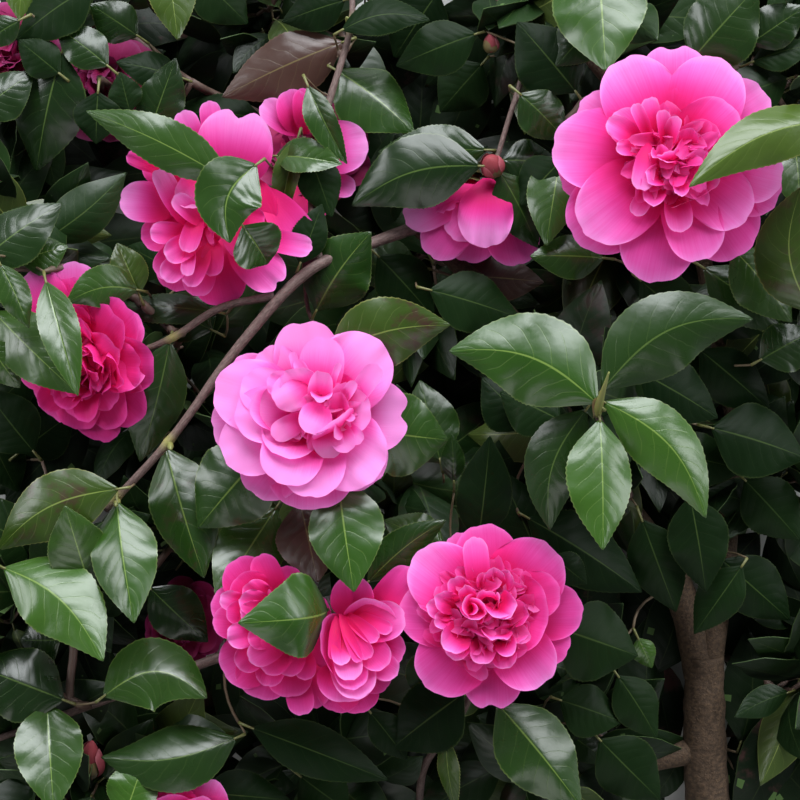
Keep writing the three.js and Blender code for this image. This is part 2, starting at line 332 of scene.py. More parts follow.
class Nodes:
    def __init__(self, name, slot=None):
        self.m = bpy.data.materials.new(name)
        self.m.use_nodes = True
        self.t = self.m.node_tree
        self.t.nodes.clear()
        self.out = self.t.nodes.new("ShaderNodeOutputMaterial")

    def new(self, kind, **settings):
        n = self.t.nodes.new(kind)
        for k, v in settings.items():
            setattr(n, k, v)
        return n

    def put(self, value, socket):
        if hasattr(value, "is_output"):
            self.t.links.new(value, socket)
        else:
            socket.default_value = value

    def math(self, op, a, b=0.0, c=None, clamp=False):
        n = self.new("ShaderNodeMath", operation=op, use_clamp=clamp)
        self.put(a, n.inputs[0])
        self.put(b, n.inputs[1])
        if c is not None:
            self.put(c, n.inputs[2])
        return n.outputs[0]

    def step(self, a, b, x, low=0.0, high=1.0):
        n = self.new("ShaderNodeMapRange", interpolation_type="SMOOTHSTEP")
        self.put(x, n.inputs[0])
        for k, v in zip((1, 2, 3, 4), (a, b, low, high)):
            n.inputs[k].default_value = v
        return n.outputs[0]

    def mix(self, f, a, b, blend="MIX"):
        n = self.new("ShaderNodeMix", data_type="RGBA", blend_type=blend)
        self.put(f, n.inputs[0])
        self.put(a if hasattr(a, "is_output") else (*a, 1), n.inputs[6])
        self.put(b if hasattr(b, "is_output") else (*b, 1), n.inputs[7])
        return n.outputs[2]

    def noise(self, vector, scale, detail=2.0, rough=0.5):
        n = self.new("ShaderNodeTexNoise")
        self.put(vector, n.inputs["Vector"])
        n.inputs["Scale"].default_value = scale
        n.inputs["Detail"].default_value = detail
        n.inputs["Roughness"].default_value = rough
        return n.outputs[0]

    def combine(self, x, y, z):
        n = self.new("ShaderNodeCombineXYZ")
        for v, s in zip((x, y, z), n.inputs):
            self.put(v, s)
        return n.outputs[0]

    def local(self):
        n = self.new("ShaderNodeUVMap", uv_map="Local")
        s = self.new("ShaderNodeSeparateXYZ")
        self.t.links.new(n.outputs[0], s.inputs[0])
        return s.outputs[0], s.outputs[1]

    def tone(self):
        n = self.new("ShaderNodeAttribute", attribute_name="Tone")
        s = self.new("ShaderNodeSeparateColor")
        self.t.links.new(n.outputs["Color"], s.inputs[0])
        return s.outputs[0], s.outputs[1], s.outputs[2]

    def place(self):
        return self.new("ShaderNodeTexCoord").outputs["Object"]

    def bump(self, height, distance, strength=1.0):
        n = self.new("ShaderNodeBump")
        n.inputs["Strength"].default_value = strength
        n.inputs["Distance"].default_value = distance
        self.put(height, n.inputs["Height"])
        return n.outputs[0]

    def principled(self, colour, rough, normal=None, spec=0.5, **fixed):
        n = self.new("ShaderNodeBsdfPrincipled")
        self.put(colour, n.inputs["Base Color"])
        self.put(rough, n.inputs["Roughness"])
        n.inputs["Specular IOR Level"].default_value = spec
        for k, v in fixed.items():
            n.inputs[k].default_value = v
        if normal is not None:
            self.put(normal, n.inputs["Normal"])
        return n.outputs[0]

    def done(self, shader):
        self.t.links.new(shader, self.out.inputs["Surface"])
        return self.m


def leaf_material(name, deep, light, rib, margin, under, rough=0.34, blotch=(0.05, 0.02, 0.02), spec=0.42, quilt=0.24, veins=0.12):
    k = Nodes(name)
    t, s = k.local()
    tint, spots, below = k.tone()
    side = k.math("ABSOLUTE", k.math("MULTIPLY_ADD", t, 2.0, -1.0))
    place = k.place()
    cloud = k.noise(place, 38.0, 3.0, 0.55)
    fine = k.noise(place, 420.0, 2.0, 0.6)
    shade = k.math("ADD", k.math("MULTIPLY", tint, 0.75), k.math("MULTIPLY", cloud, 0.5))
    shade = k.math("SUBTRACT", shade, 0.12, clamp=True)
    base = k.mix(shade, deep, light)
    # blotches that some leaves have
    patch = k.step(0.50, 0.66, k.noise(place, 62.0, 4.0, 0.65))
    base = k.mix(k.math("MULTIPLY", patch, spots), base, blotch)
    # side veins that run forward from the midrib, and meet short of the margin
    bent = k.math("ADD", k.math("MULTIPLY", s, 8.0), k.math("MULTIPLY", side, -1.9))
    bent = k.math("ADD", bent, k.math("MULTIPLY", k.noise(k.combine(t, s, tint), 3.0, 1.0), 0.7))
    line = k.math("PINGPONG", bent, 0.5)
    vein = k.math("MULTIPLY", k.step(0.040, 0.010, line), k.math("MULTIPLY", k.step(0.86, 0.66, side), k.step(0.02, 0.12, s)))
    base = k.mix(k.math("MULTIPLY", vein, veins), base, rib)
    # the pale midrib, finer towards the tip
    wide = k.math("MULTIPLY_ADD", s, -0.024, 0.038)
    ribbed = k.math("SUBTRACT", 1.0, k.math("SMOOTH_MIN", k.math("DIVIDE", side, wide), 1.0, 0.35), clamp=True)
    ribbed = k.step(0.02, 0.45, ribbed)
    base = k.mix(k.math("MULTIPLY", ribbed, 0.60), base, rib)
    base = k.mix(k.math("MULTIPLY", k.step(0.955, 0.99, side), 0.75), base, margin)
    base = k.mix(below, base, under)
    swell = k.math("MULTIPLY", k.step(0.0, 0.5, line), k.step(0.95, 0.6, side))
    height = k.math("ADD", k.math("MULTIPLY", swell, quilt), k.math("MULTIPLY", fine, 0.08))
    height = k.math("ADD", height, k.math("MULTIPLY", vein, -0.10))
    height = k.math("ADD", height, k.math("MULTIPLY", k.noise(place, 130.0, 2.0), 0.6))
    gloss = k.math("ADD", k.math("MULTIPLY", cloud, 0.16), rough - 0.08)
    gloss = k.math("ADD", gloss, k.math("MULTIPLY", below, 0.25))
    edge_on = k.new("ShaderNodeLayerWeight")
    edge_on.inputs[0].default_value = 0.5
    gloss = k.math("ADD", gloss, k.math("MULTIPLY", k.step(0.50, 0.74, edge_on.outputs["Facing"]), 0.42))
    return k.done(k.principled(base, gloss, k.bump(height, 0.0006, 0.45), spec=spec))


def petal_material(name, ramp, rough=0.52, through=0.22):
    k = Nodes(name)
    t, s = k.local()
    shade, rand, edge = k.tone()
    across = k.math("MULTIPLY_ADD", t, 2.0, -1.0)
    fan = k.math("DIVIDE", across, k.math("MULTIPLY_ADD", s, 0.5, 0.55))
    streak = k.noise(k.combine(k.math("MULTIPLY", fan, 11.0), k.math("MULTIPLY", s, 0.9), k.math("MULTIPLY", rand, 37.0)), 1.6, 3.0, 0.6)
    fine = k.noise(k.combine(k.math("MULTIPLY", fan, 34.0), k.math("MULTIPLY", s, 2.0), k.math("MULTIPLY", rand, 11.0)), 1.0, 2.0)
    crepe = k.noise(k.place(), 340.0, 2.0, 0.6)
    level = k.math("ADD", shade, k.math("MULTIPLY_ADD", streak, 0.15, -0.075))
    level = k.math("ADD", level, k.math("MULTIPLY_ADD", fine, 0.13, -0.065), clamp=True)
    n = k.new("ShaderNodeValToRGB")
    n.color_ramp.interpolation = "B_SPLINE"
    el = n.color_ramp.elements
    while len(el) < len(ramp):
        el.new(0.5)
    for e, (pos, col) in zip(el, ramp):
        e.position = pos
        e.color = (*col, 1)
    k.put(level, n.inputs[0])
    colour = n.outputs[0]
    height = k.math("ADD", k.math("MULTIPLY", streak, 0.35), k.math("MULTIPLY", fine, 0.35))
    height = k.math("ADD", height, k.math("MULTIPLY", crepe, 0.45))
    body = k.principled(colour, rough, k.bump(height, 0.0004, 0.35), spec=0.16)
    glow = k.new("ShaderNodeBsdfTranslucent")
    k.put(colour, glow.inputs[0])
    both = k.new("ShaderNodeMixShader")
    both.inputs[0].default_value = through
    k.t.links.new(body, both.inputs[1])
    k.t.links.new(glow.outputs[0], both.inputs[2])
    return k.done(both.outputs[0])


def bark_material(name, dark, light, tint, rough, scale, lift):
    k = Nodes(name)
    place = k.place()
    u, v = k.local()
    a, b, c = k.tone()
    grain = k.noise(k.combine(k.math("MULTIPLY", u, 9.0), k.math("MULTIPLY", v, 16.0), 0.0), scale, 4.0, 0.65)
    cloud = k.noise(place, 55.0, 3.0, 0.6)
    base = k.mix(k.step(0.32, 0.7, grain), dark, light)
    base = k.mix(k.math("MULTIPLY", cloud, 0.6), base, tint)
    spot = k.step(0.60, 0.70, k.noise(place, 520.0, 1.0))
    base = k.mix(k.math("MULTIPLY", spot, 0.35), base, light)
    base = k.mix(c, base, (0.36, 0.36, 0.08))          # the yellow-green of a leaf node
    height = k.math("ADD", k.math("MULTIPLY", grain, 1.0), k.math("MULTIPLY", spot, 0.3))
    return k.done(k.principled(base, rough, k.bump(height, lift, 0.7), spec=0.35))


# ---------------------------------------------------------------- blooms

OBOVATE_S = np.array([0, .08, .2, .35, .5, .65, .78, .9, 1.0])
OBOVATE_W = np.array([.20, .34, .56, .77, .91, .98, 1.0, 1.0, .97])
STRAP_W = np.array([.40, .48, .62, .78, .90, .98, 1.0, 1.0, .98])


def petal(pile, p0, p1, width, rnd, normal=None, arch=0.10, cup=0.25, cup_tip=None, curl=0.0, ruffle=0.02,
          twist=0.0, bend=0.0, roll=0.0, notch=0.0, fold=0.0, shade=(0.25, 0.8), rows=16, cols=13,
          strap=False, blunt=0.95, early=0.8, rim=0.22):
    """One petal: a thin curved sheet from its claw to its rounded tip. normal is the way its inner face looks."""
    p0, p1 = np.asarray(p0, float), np.asarray(p1, float)
    length = np.linalg.norm(p1 - p0)
    d0 = (p1 - p0) / length
    n0 = np.array([0.0, 0.0, 1.0]) if normal is None else np.asarray(normal, float)
    n0 = n0 - d0 * n0.dot(d0)
    if np.linalg.norm(n0) < 0.05:
        n0 = np.array([0.2, 1.0, 0.1]) - d0 * np.array([0.2, 1.0, 0.1]).dot(d0)
    n0 = turned(unit(n0), d0, math.radians(roll))
    s0 = np.cross(d0, n0)
    s = np.linspace(0, 1, rows + 1)[:, None]
    t = np.linspace(-1, 1, cols)
    t = (0.5 * t + 0.5 * np.sin(t * np.pi / 2))[None]
    tip_depth = min(0.46, 0.5 * width * blunt / length)
    reach = 1 - tip_depth * (1 - np.sqrt(1 - (0.985 * np.abs(t)) ** 2.2)) - notch * np.exp(-(t / 0.22) ** 2)
    wob = rnd.uniform(0, 2 * np.pi, 5)
    reach = reach + (0.011 * np.sin(2.7 * np.pi * t + wob[0]) + 0.004 * np.sin(6.1 * np.pi * t + wob[4])) * (1 - np.abs(t))
    q = s * reach

    def along(q):
        return p0 + length * (d0 * q[..., None] + n0 * (arch * np.sin(np.pi * np.clip(q, 0, 1) ** early) + curl * q ** 4)[..., None]
                              + s0 * (bend * np.sin(np.pi * np.clip(q, 0, 1)))[..., None])

    mid = along(q)
    d = unit(along(q + 0.01) - along(q - 0.01))
    n = unit(n0 - d * (d @ n0)[..., None])
    n = turned(n, d, np.radians(twist) * (q - 0.3))
    side = np.cross(d, n)
    half = 0.5 * width * np.interp(s, OBOVATE_S, STRAP_W if strap else OBOVATE_W)
    tip_cup = cup if cup_tip is None else cup_tip
    k = cup + (tip_cup - cup) * s ** 1.5
    k = np.where(np.abs(k) < 1e-3, 1e-3, k)
    x = half / k * np.sin(k * t)
    y = half / k * (1 - np.cos(k * t)) + fold * half * np.abs(t)
    y = y + ruffle * width * (0.55 * np.sin(2 * np.pi * 0.9 * t + wob[1] + 1.4 * s) * s ** 2
                              + 0.22 * np.sin(2 * np.pi * 2.1 * t + wob[2]) * s ** 4
                              + 0.55 * np.sin(2 * np.pi * 1.9 * s + wob[3] + 2.0 * np.sign(t)) * np.abs(t) ** 3 * s)
    co = mid + side * x[..., None] + n * y[..., None]
    # the pink deepens towards the claw, where the petal runs down into the bloom: partly the petal's own deeper base
    # and partly painted shade
    level = shade[0] + (shade[1] - shade[0]) * smooth(0.28, 0.97, q)
    # the pale margin and tip: partly the petal's own paler edge and partly painted highlight
    level = level + rim * (0.6 * np.abs(t) ** 7 * smooth(0.1, 0.5, s) + smooth(0.88, 1.0, s) ** 2)
    tone = np.stack([level, np.full_like(level, rnd.uniform(0, 1)), np.zeros_like(level)], -1)
    pile.sheet(co, np.stack(np.broadcast_arrays(t * 0.5 + 0.5, q), -1), tone)
    return co


class Bloom:
    def __init__(self, name, u, v, z, radius, depth, facing):
        self.name, self.u, self.v, self.z = name, u, v, z
        self.r, self.depth = radius, depth
        self.c = at(u, v, z)
        self.a = unit(facing)
        x = np.array([1.0, 0.0, 0.0])
        self.e1 = unit(x - self.a * self.a.dot(x))
        self.e2 = np.cross(self.a, self.e1)
        self.neck = self.c - self.a * depth * 0.5
        self.rnd = np.random.default_rng(int(abs(u) * 977 + abs(v) * 31 + z))

    def p(self, angle, r, h):
        return self.c + (self.e1 * math.cos(angle) + self.e2 * math.sin(angle)) * r + self.a * h

    def ring(self, pile, angle, r0, h0, r1, h1, width, **kw):
        out = self.e1 * math.cos(angle) + self.e2 * math.sin(angle)
        normal = self.a * (r1 - r0) - out * (h1 - h0)
        return petal(pile, self.p(angle, r0, h0), self.p(angle, r1, h1), width, self.rnd, normal=normal, **kw)


BLOOMS = {b.name: b for b in (
    Bloom("bloom_front_left", 312, 412, 152, 47, 52, [0.04, -0.10, 1]),
    Bloom("bloom_upper_right", 668, 162, 156, 56, 56, [-0.02, 0.02, 1]),
    Bloom("bloom_lower_middle", 490, 614, 142, 45, 44, [-0.04, 0.04, 1]),
    Bloom("bloom_pair_left", 276, 634, 132, 40, 40, [-0.70, -0.10, 0.70]),
    Bloom("bloom_pair_right", 360, 640, 138, 29, 46, [0.46, -0.30, 0.83]),
    Bloom("bloom_far_left", 82, 362, 120, 44, 40, [-0.42, -0.30, 0.85]),
    Bloom("bloom_upper_left", 212, 205, 126, 47, 42, [-0.50, -0.16, 0.85]),
    Bloom("bloom_behind_stem", 314, 150, 84, 32, 34, [0.05, 0.25, 0.97]),
    Bloom("bloom_drooping", 470, 206, 96, 34, 36, [-0.12, -0.92, 0.10]),
    Bloom("bloom_corner", 8, 52, 62, 38, 32, [-0.30, 0.30, 0.90]),
    Bloom("bloom_deep_left", 110, 86, 58, 32, 30, [-0.10, 0.20, 0.97]),
    Bloom("bloom_bottom", 190, 836, 100, 38, 40, [-0.10, -0.52, 0.85]),
    Bloom("bloom_deep_low", 184, 622, 66, 25, 26, [-0.30, 0.10, 0.95]))}

outer, inner, core, shaded_petals = Pile(), Pile(), Pile(), Pile()


def placed(pile, level, rows, deeper=0.0):
    """Petals laid by their place on the plan: claw (u, v, height), tip (u, v, height), width, then what differs."""
    for i, (u0, v0, h0, u1, v1, h1, w, kw) in enumerate(rows):
        rnd = np.random.default_rng(int(u1 * 131 + v1 * 17 + level))
        p0, p1 = at(u0, v0, level + h0), at(u1, v1, level + h1)
        kw = dict(kw)
        # The two shades of a row, moved down by deeper, are partly the bloom's own pink and partly painted light and
        # shade: lower for petals behind, low or down in the cups and for blooms in shade, higher for the brightly lit
        # pale bloom.
        low, high = kw.pop("shade")
        kw["shade"] = (max(0.0, 0.7 * low - deeper - 0.02), high - deeper + 0.10)
        if pile is outer:
            kw.setdefault("rows", 20)
            kw.setdefault("cols", 27)
        else:
            kw.setdefault("rim", 0.30)
            kw.setdefault("rows", 14)
            kw.setdefault("cols", 17)
        petal(pile, p0, p1, w * (VIEW_H - p1[2]) / UNIT, rnd, **kw)


def K(s0, s1, **kw):
    return dict(shade=(s0, s1), **kw)


# the pale double bloom at the middle left
placed(outer, 161, [
    (312, 425, -22, 311, 510, -6, 92, K(.10, .46, cup=.12, arch=.06, curl=-.02, notch=.02)),
    (305, 425, -22, 253, 494, -6, 66, K(.20, .50, cup=.1, arch=.07)),
    (300, 415, -22, 213, 428, -8, 72, K(.25, .58, cup=.1, arch=.12, curl=-.04)),
    (300, 400, -22, 231, 366, -8, 48, K(.30, .60, cup=.1, arch=.12)),
    (322, 402, -22, 366, 340, -12, 70, K(.30, .60, cup=.1, arch=.12)),
    (322, 425, -22, 378, 480, -10, 70, K(.30, .60, cup=.1, arch=.06)),
    (325, 415, -17, 409, 416, -4, 76, K(.45, .90, cup=.08, arch=.07, notch=.09, curl=-.03)),
    (320, 425, -13, 376, 477, 3, 82, K(.40, .94, cup=.08, arch=.08, curl=-.02, ruffle=.04)),
    (314, 425, -10, 312, 497, 6, 68, K(.30, .86, cup=.18, arch=.08, curl=-.01)),
    (322, 402, -12, 381, 344, 1, 80, K(.50, .92, cup=.06, arch=.10, curl=-.05, ruffle=.05)),
    (312, 400, -15, 303, 320, -1, 66, K(.50, .90, cup=.12, arch=.10, notch=.05, fold=.10)),
    (300, 400, -14, 264, 349, 0, 46, K(.50, .90, cup=.15, arch=.12)),
    (300, 408, -12, 216, 386, 2, 74, K(.60, 1.0, cup=.12, arch=.14, curl=-.06)),
    (300, 420, -12, 224, 457, 3, 68, K(.50, .92, cup=.12, arch=.09, curl=-.03)),
    (306, 424, -8, 280, 482, 9, 64, K(.06, .88, cup=.30, arch=.12, curl=-.03, blunt=.8)),
    (318, 402, -8, 325, 337, 6, 46, K(.42, .82, cup=.30, arch=.10, fold=.10)),
    (300, 410, -8, 243, 380, 7, 50, K(.50, .92, cup=.25, arch=.16)),
    (303, 418, -8, 235, 412, 7, 58, K(.50, .92, cup=.22, arch=.18)),
    (340, 412, -6, 371, 408, 8, 50, K(.45, .95, cup=.45, arch=.12)),
], -0.13)
placed(inner, 161, [
    (290, 413, -8, 254, 406, 14, 50, K(.02, .72, cup=.85, arch=-.10, normal=(.8, 0, .6), curl=-.1)),
    (300, 424, -8, 278, 450, 12, 64, K(.0, .80, cup=.60, arch=-.06, normal=(.3, .7, .6), curl=-.12)),
    (309, 416, 0, 272, 436, 9, 24, K(.50, .85, cup=-.4, arch=.16)),
    (308, 384, 4, 274, 402, 16, 42, K(.68, 1.0, cup=-.55, arch=.24, ruffle=.07)),
    (306, 388, 2, 289, 370, 17, 40, K(.45, .95, cup=.45, ruffle=.07, normal=(.2, -.6, .8))),
    (300, 394, 0, 268, 378, 12, 30, K(.40, .92, cup=.40, ruffle=.08)),
    (318, 400, 2, 322, 371, 18, 28, K(.45, 1.0, cup=.8, ruffle=.08, normal=(0, -.7, .7))),
    (322, 398, 8, 321, 402, 22, 26, K(.60, 1.0, cup=.9, ruffle=.07, normal=(0, .9, .4))),
    (323, 402, 8, 308, 433, 19, 34, K(.60, 1.0, cup=-.40, arch=.16)),
    (338, 432, 0, 331, 419, 22, 52, K(.30, 1.0, cup=.35, arch=-.05, normal=(-.55, .8, .25), curl=-.06)),
    (325, 424, 6, 331, 458, 8, 32, K(.35, .86, cup=-.25, arch=.20, curl=-.1)),
    (334, 424, 2, 350, 451, 9, 26, K(.25, .90, cup=.45, arch=.15)),
    (342, 425, 2, 362, 442, 8, 18, K(.30, .92, cup=.4, arch=.15)),
    (336, 398, 0, 341, 364, 17, 12, K(.20, 1.0, cup=1.1, strap=True, normal=(-.8, -.3, .5))),
    (344, 404, 0, 356, 382, 16, 15, K(.35, 1.0, cup=1.0, normal=(-.7, -.5, .5))),
    (350, 410, -4, 379, 366, 11, 24, K(.55, 1.0, cup=.75, normal=(-.5, -.4, .75))),
    (312, 385, 0, 296, 360, 10, 14, K(.50, 1.0, cup=.8, strap=True)),
    (300, 380, 2, 292, 352, 8, 10, K(.50, 1.0, cup=.8, strap=True)),
    (345, 418, 6, 354, 420, 14, 10, K(.50, 1.0, cup=.5, normal=(0, .4, .9))),
    (336, 420, 6, 334, 436, 17, 22, K(.20, .95, cup=.5, normal=(.9, 0, .4))),
], -0.10)

# the widest bloom, at the upper right
placed(outer, 165, [
    (672, 150, -22, 675, 45, -8, 76, K(.40, .76, cup=.08, arch=.12, notch=.05, curl=-.05)),
    (680, 150, -22, 766, 93, -8, 66, K(.45, .80, cup=.08, arch=.12)),
    (655, 155, -22, 581, 102, -8, 52, K(.45, .80, cup=.08, arch=.12)),
    (658, 170, -22, 577, 239, -9, 84, K(.25, .60, cup=.08, arch=.12, curl=-.04)),
    (678, 172, -22, 744, 252, -10, 80, K(.25, .55, cup=.08, arch=.12, curl=-.05)),
    (685, 160, -22, 778, 200, -10, 60, K(.30, .60, cup=.08, arch=.12)),
    (655, 160, -22, 560, 180, -10, 56, K(.30, .60, cup=.08, arch=.12)),
    (660, 150, -14, 622, 60, 0, 78, K(.35, .84, cup=.06, arch=.14, curl=-.05)),
    (676, 150, -14, 724, 61, 0, 80, K(.35, .82, cup=.06, arch=.14, curl=-.05)),
    (655, 160, -14, 555, 145, -2, 84, K(.30, .80, cup=.06, arch=.16, curl=-.08)),
    (658, 170, -12, 586, 230, 1, 78, K(.35, .84, cup=.08, arch=.16, curl=-.07)),
    (667, 175, -15, 651, 280, -3, 78, K(.28, .66, cup=.05, arch=.14, curl=-.06)),
    (674, 175, -10, 703, 260, 0, 60, K(.30, .74, cup=.25, arch=.14)),
    (680, 168, -8, 746, 219, 3, 64, K(.30, .80, cup=.12, arch=.14, curl=-.04)),
    (685, 162, -12, 782, 178, -1, 64, K(.40, .84, cup=.10, arch=.14, curl=-.05)),
    (680, 155, -4, 734, 108, 7, 66, K(.14, .62, cup=.35, arch=.12)),
    (680, 158, 0, 716, 126, 9, 44, K(.05, .50, cup=.5, arch=.05)),
    (655, 150, -4, 612, 116, 5, 40, K(.25, .75, cup=.3, arch=.12)),
], .14)
placed(inner, 165, [
    (645, 145, 2, 607, 121, 12, 26, K(.30, .85, cup=.7, ruffle=.08)),
    (650, 142, 3, 634, 104, 14, 16, K(.30, .80, cup=.9, strap=True)),
    (655, 140, 2, 648, 98, 13, 20, K(.30, .78, cup=.5, strap=True)),
    (664, 145, 6, 661, 110, 17, 18, K(.25, .75, cup=.9, strap=True, normal=(.3, -.6, .7))),
    (670, 148, 6, 679, 117, 18, 20, K(.25, .80, cup=.9, strap=True, normal=(-.7, -.4, .6))),
    (655, 138, 2, 652, 97, 10, 12, K(.50, .95, cup=.6, strap=True)),
    (648, 142, 8, 641, 190, 17, 24, K(.42, .92, cup=-.55, arch=.14)),
    (640, 148, 4, 616, 148, 12, 18, K(.30, .80, cup=.6, ruffle=.08)),
    (668, 166, 8, 655, 158, 20, 30, K(.20, .78, cup=.6, ruffle=.08, normal=(.2, .8, .5))),
    (672, 168, 10, 668, 152, 22, 26, K(.20, .80, cup=.7, ruffle=.08, normal=(-.3, .7, .6))),
    (692, 196, -2, 688, 202, 14, 56, K(.15, .85, cup=.2, arch=-.04, normal=(-.45, .85, .3))),
    (672, 188, 0, 681, 232, 6, 30, K(.15, .80, cup=.7, fold=.1)),
    (652, 184, 0, 634, 215, 6, 20, K(.25, .80, cup=.6)),
    (656, 186, 4, 650, 205, 14, 26, K(.15, .72, cup=.8, ruffle=.07)),
    (660, 176, 8, 646, 178, 18, 26, K(.18, .80, cup=.9, ruffle=.08, normal=(.6, .2, .7))),
    (690, 180, 2, 720, 178, 8, 26, K(.25, .80, cup=.5)),
    (690, 165, 4, 706, 150, 14, 22, K(.08, .50, cup=.7, ruffle=.1)),
    (684, 150, 4, 690, 128, 14, 24, K(.08, .50, cup=.7, ruffle=.1)),
    (678, 182, 10, 680, 196, 18, 20, K(.20, .80, cup=.9, ruffle=.08, normal=(.2, .8, .5))),
], .16)

# the rosier bloom at the lower middle
placed(outer, 149, [
    (490, 606, -18, 483, 526, -5, 66, K(.20, .50, cup=.08, arch=.14, curl=-.05)),
    (486, 604, -18, 455, 534, -7, 34, K(.30, .60, cup=.08, arch=.10)),
    (482, 608, -13, 417, 556, 1, 74, K(.25, .74, cup=.08, arch=.16, curl=-.06)),
    (480, 615, -15, 401, 610, -3, 68, K(.25, .58, cup=.08, arch=.14, curl=-.05)),
    (482, 625, -15, 427, 686, -3, 74, K(.25, .58, cup=.08, arch=.14, curl=-.06)),
    (492, 630, -17, 492, 709, -6, 62, K(.25, .58, cup=.08, arch=.14, notch=.05, curl=-.05)),
    (500, 625, -11, 544, 683, 0, 64, K(.25, .74, cup=.15, arch=.14, fold=.10, curl=-.05)),
    (500, 620, -18, 568, 652, -8, 50, K(.20, .46, cup=.08, arch=.12)),
    (505, 612, -17, 582, 610, -6, 58, K(.20, .50, cup=.08, arch=.14, curl=-.05)),
    (500, 602, -13, 552, 549, -1, 80, K(.18, .56, cup=.06, arch=.16, curl=-.06)),
    (505, 610, -6, 548, 616, 8, 80, K(.08, .44, cup=.45, arch=.08)),
    (500, 600, -8, 560, 590, 2, 50, K(.14, .46, cup=.25, arch=.14)),
    (480, 600, -2, 474, 537, 9, 26, K(.22, .68, cup=.2, arch=.14, strap=True, blunt=1.1)),
], .10)
placed(inner, 149, [
    (474, 616, 6, 484, 604, 25, 34, K(.15, .85, cup=1.1, normal=(-.8, -.3, .5), arch=-.08)),
    (478, 608, 6, 462, 606, 25, 32, K(.15, .85, cup=1.1, normal=(.8, .1, .5), arch=-.08)),
    (474, 606, 8, 474, 620, 24, 34, K(.15, .88, cup=.9, normal=(0, .8, .5), arch=-.06)),
    (475, 610, 10, 478, 610, 25, 16, K(.10, .70, cup=1.2, normal=(-.8, .2, .4))),
    (500, 602, 8, 515, 612, 21, 32, K(.20, .80, cup=.8, ruffle=.06, normal=(-.4, .2, .8))),
    (498, 608, 8, 498, 618, 21, 30, K(.15, .84, cup=.6, normal=(.1, .9, .4))),
    (502, 606, 10, 500, 596, 22, 14, K(.20, .90, cup=.5, normal=(-.9, .1, .4))),
    (456, 612, 4, 427, 605, 13, 26, K(.25, .80, cup=.9, ruffle=.08)),
    (456, 606, 4, 436, 596, 16, 26, K(.20, .74, cup=.8, ruffle=.10)),
    (452, 616, 4, 434, 622, 14, 22, K(.20, .80, cup=.8, ruffle=.08)),
    (462, 630, 6, 444, 648, 17, 36, K(.18, .80, cup=.8, ruffle=.08)),
    (466, 634, 4, 450, 658, 12, 28, K(.18, .74, cup=.8, ruffle=.08)),
    (484, 640, 4, 480, 664, 12, 30, K(.12, .74, cup=.8, ruffle=.10)),
    (494, 636, 6, 498, 640, 20, 34, K(.12, .80, cup=.5, ruffle=.08, normal=(.1, .9, .3))),
    (500, 646, 2, 508, 668, 8, 28, K(.20, .68, cup=.6, ruffle=.10)),
    (505, 640, 4, 512, 655, 16, 26, K(.15, .72, cup=.9, normal=(-.5, .6, .6))),
    (512, 626, 2, 524, 640, 12, 30, K(.12, .58, cup=.7, ruffle=.08)),
    (512, 612, 4, 528, 612, 14, 30, K(.10, .50, cup=.7, ruffle=.08)),
    (498, 584, 4, 510, 572, 13, 24, K(.15, .66, cup=.7, ruffle=.09)),
    (494, 586, 4, 494, 568, 14, 24, K(.15, .70, cup=.7, ruffle=.09)),
    (486, 588, 4, 484, 572, 12, 20, K(.15, .68, cup=.7, ruffle=.09)),
    (464, 594, 4, 452, 578, 14, 26, K(.18, .72, cup=.8, ruffle=.09)),
    (468, 596, 6, 464, 586, 18, 20, K(.15, .74, cup=.8, ruffle=.09)),
    (488, 596, 8, 486, 590, 20, 24, K(.12, .74, cup=.8, ruffle=.09, normal=(0, -.9, .4))),
], .12)

# the pair below: one seen from the side, one half open
placed(outer, 140, [
    (262, 650, -16, 224, 674, -8, 56, K(.30, .58, cup=.2, arch=.16)),
    (270, 660, -16, 252, 696, -8, 56, K(.28, .56, cup=.2, arch=.16)),
    (290, 660, -14, 290, 697, -6, 46, K(.25, .52, cup=.2, arch=.16)),
    (296, 668, -14, 303, 715, -8, 28, K(.25, .56, cup=.3, arch=.12)),
    (308, 660, -14, 316, 708, -10, 34, K(.20, .46, cup=.2, arch=.12)),
    (255, 612, -14, 212, 600, -6, 44, K(.28, .54, cup=.2, arch=.16)),
    (262, 600, -12, 234, 560, -2, 52, K(.18, .44, cup=.25, arch=.16)),
    (282, 602, -10, 259, 555, 2, 30, K(.12, .42, cup=.3, arch=.10)),
    (290, 606, -12, 286, 566, -4, 34, K(.12, .40, cup=.3, arch=.10)),
    (300, 620, -14, 322, 596, -10, 46, K(.12, .36, cup=.2, arch=.10)),
    (252, 622, -8, 213, 620, 2, 36, K(.24, .56, cup=.3, arch=.16)),
    (300, 645, -16, 332, 668, -12, 48, K(.15, .40, cup=.2, arch=.10)),
    # the half-open one
    (352, 618, -8, 353, 575, 0, 44, K(.26, .56, cup=.1, arch=.06, fold=.35)),
    (368, 616, -8, 412, 571, 2, 34, K(.26, .54, cup=.4, arch=.12, curl=-.08)),
    (374, 618, -10, 409, 593, -2, 36, K(.30, .58, cup=.2, arch=.12)),
    (370, 640, -8, 404, 655, 2, 40, K(.25, .60, cup=.3, arch=.16)),
    (366, 652, -10, 397, 674, -2, 32, K(.25, .58, cup=.3, arch=.14)),
    (362, 665, -14, 387, 688, -8, 34, K(.20, .50, cup=.2, arch=.12)),
    (345, 675, -16, 332, 711, -10, 44, K(.20, .44, cup=.2, arch=.12)),
    (352, 675, -16, 364, 712, -10, 44, K(.20, .46, cup=.2, arch=.12)),
    (346, 662, -10, 349, 702, 3, 62, K(.25, .70, cup=.45, arch=.16)),
    (350, 658, -14, 320, 634, 15, 70, K(.12, .62, cup=.62, normal=(.85, .2, .5), arch=-.12)),
    (362, 640, -10, 378, 600, 13, 58, K(.08, .70, cup=.55, normal=(-.2, -.7, .7), arch=-.06)),
], .12)
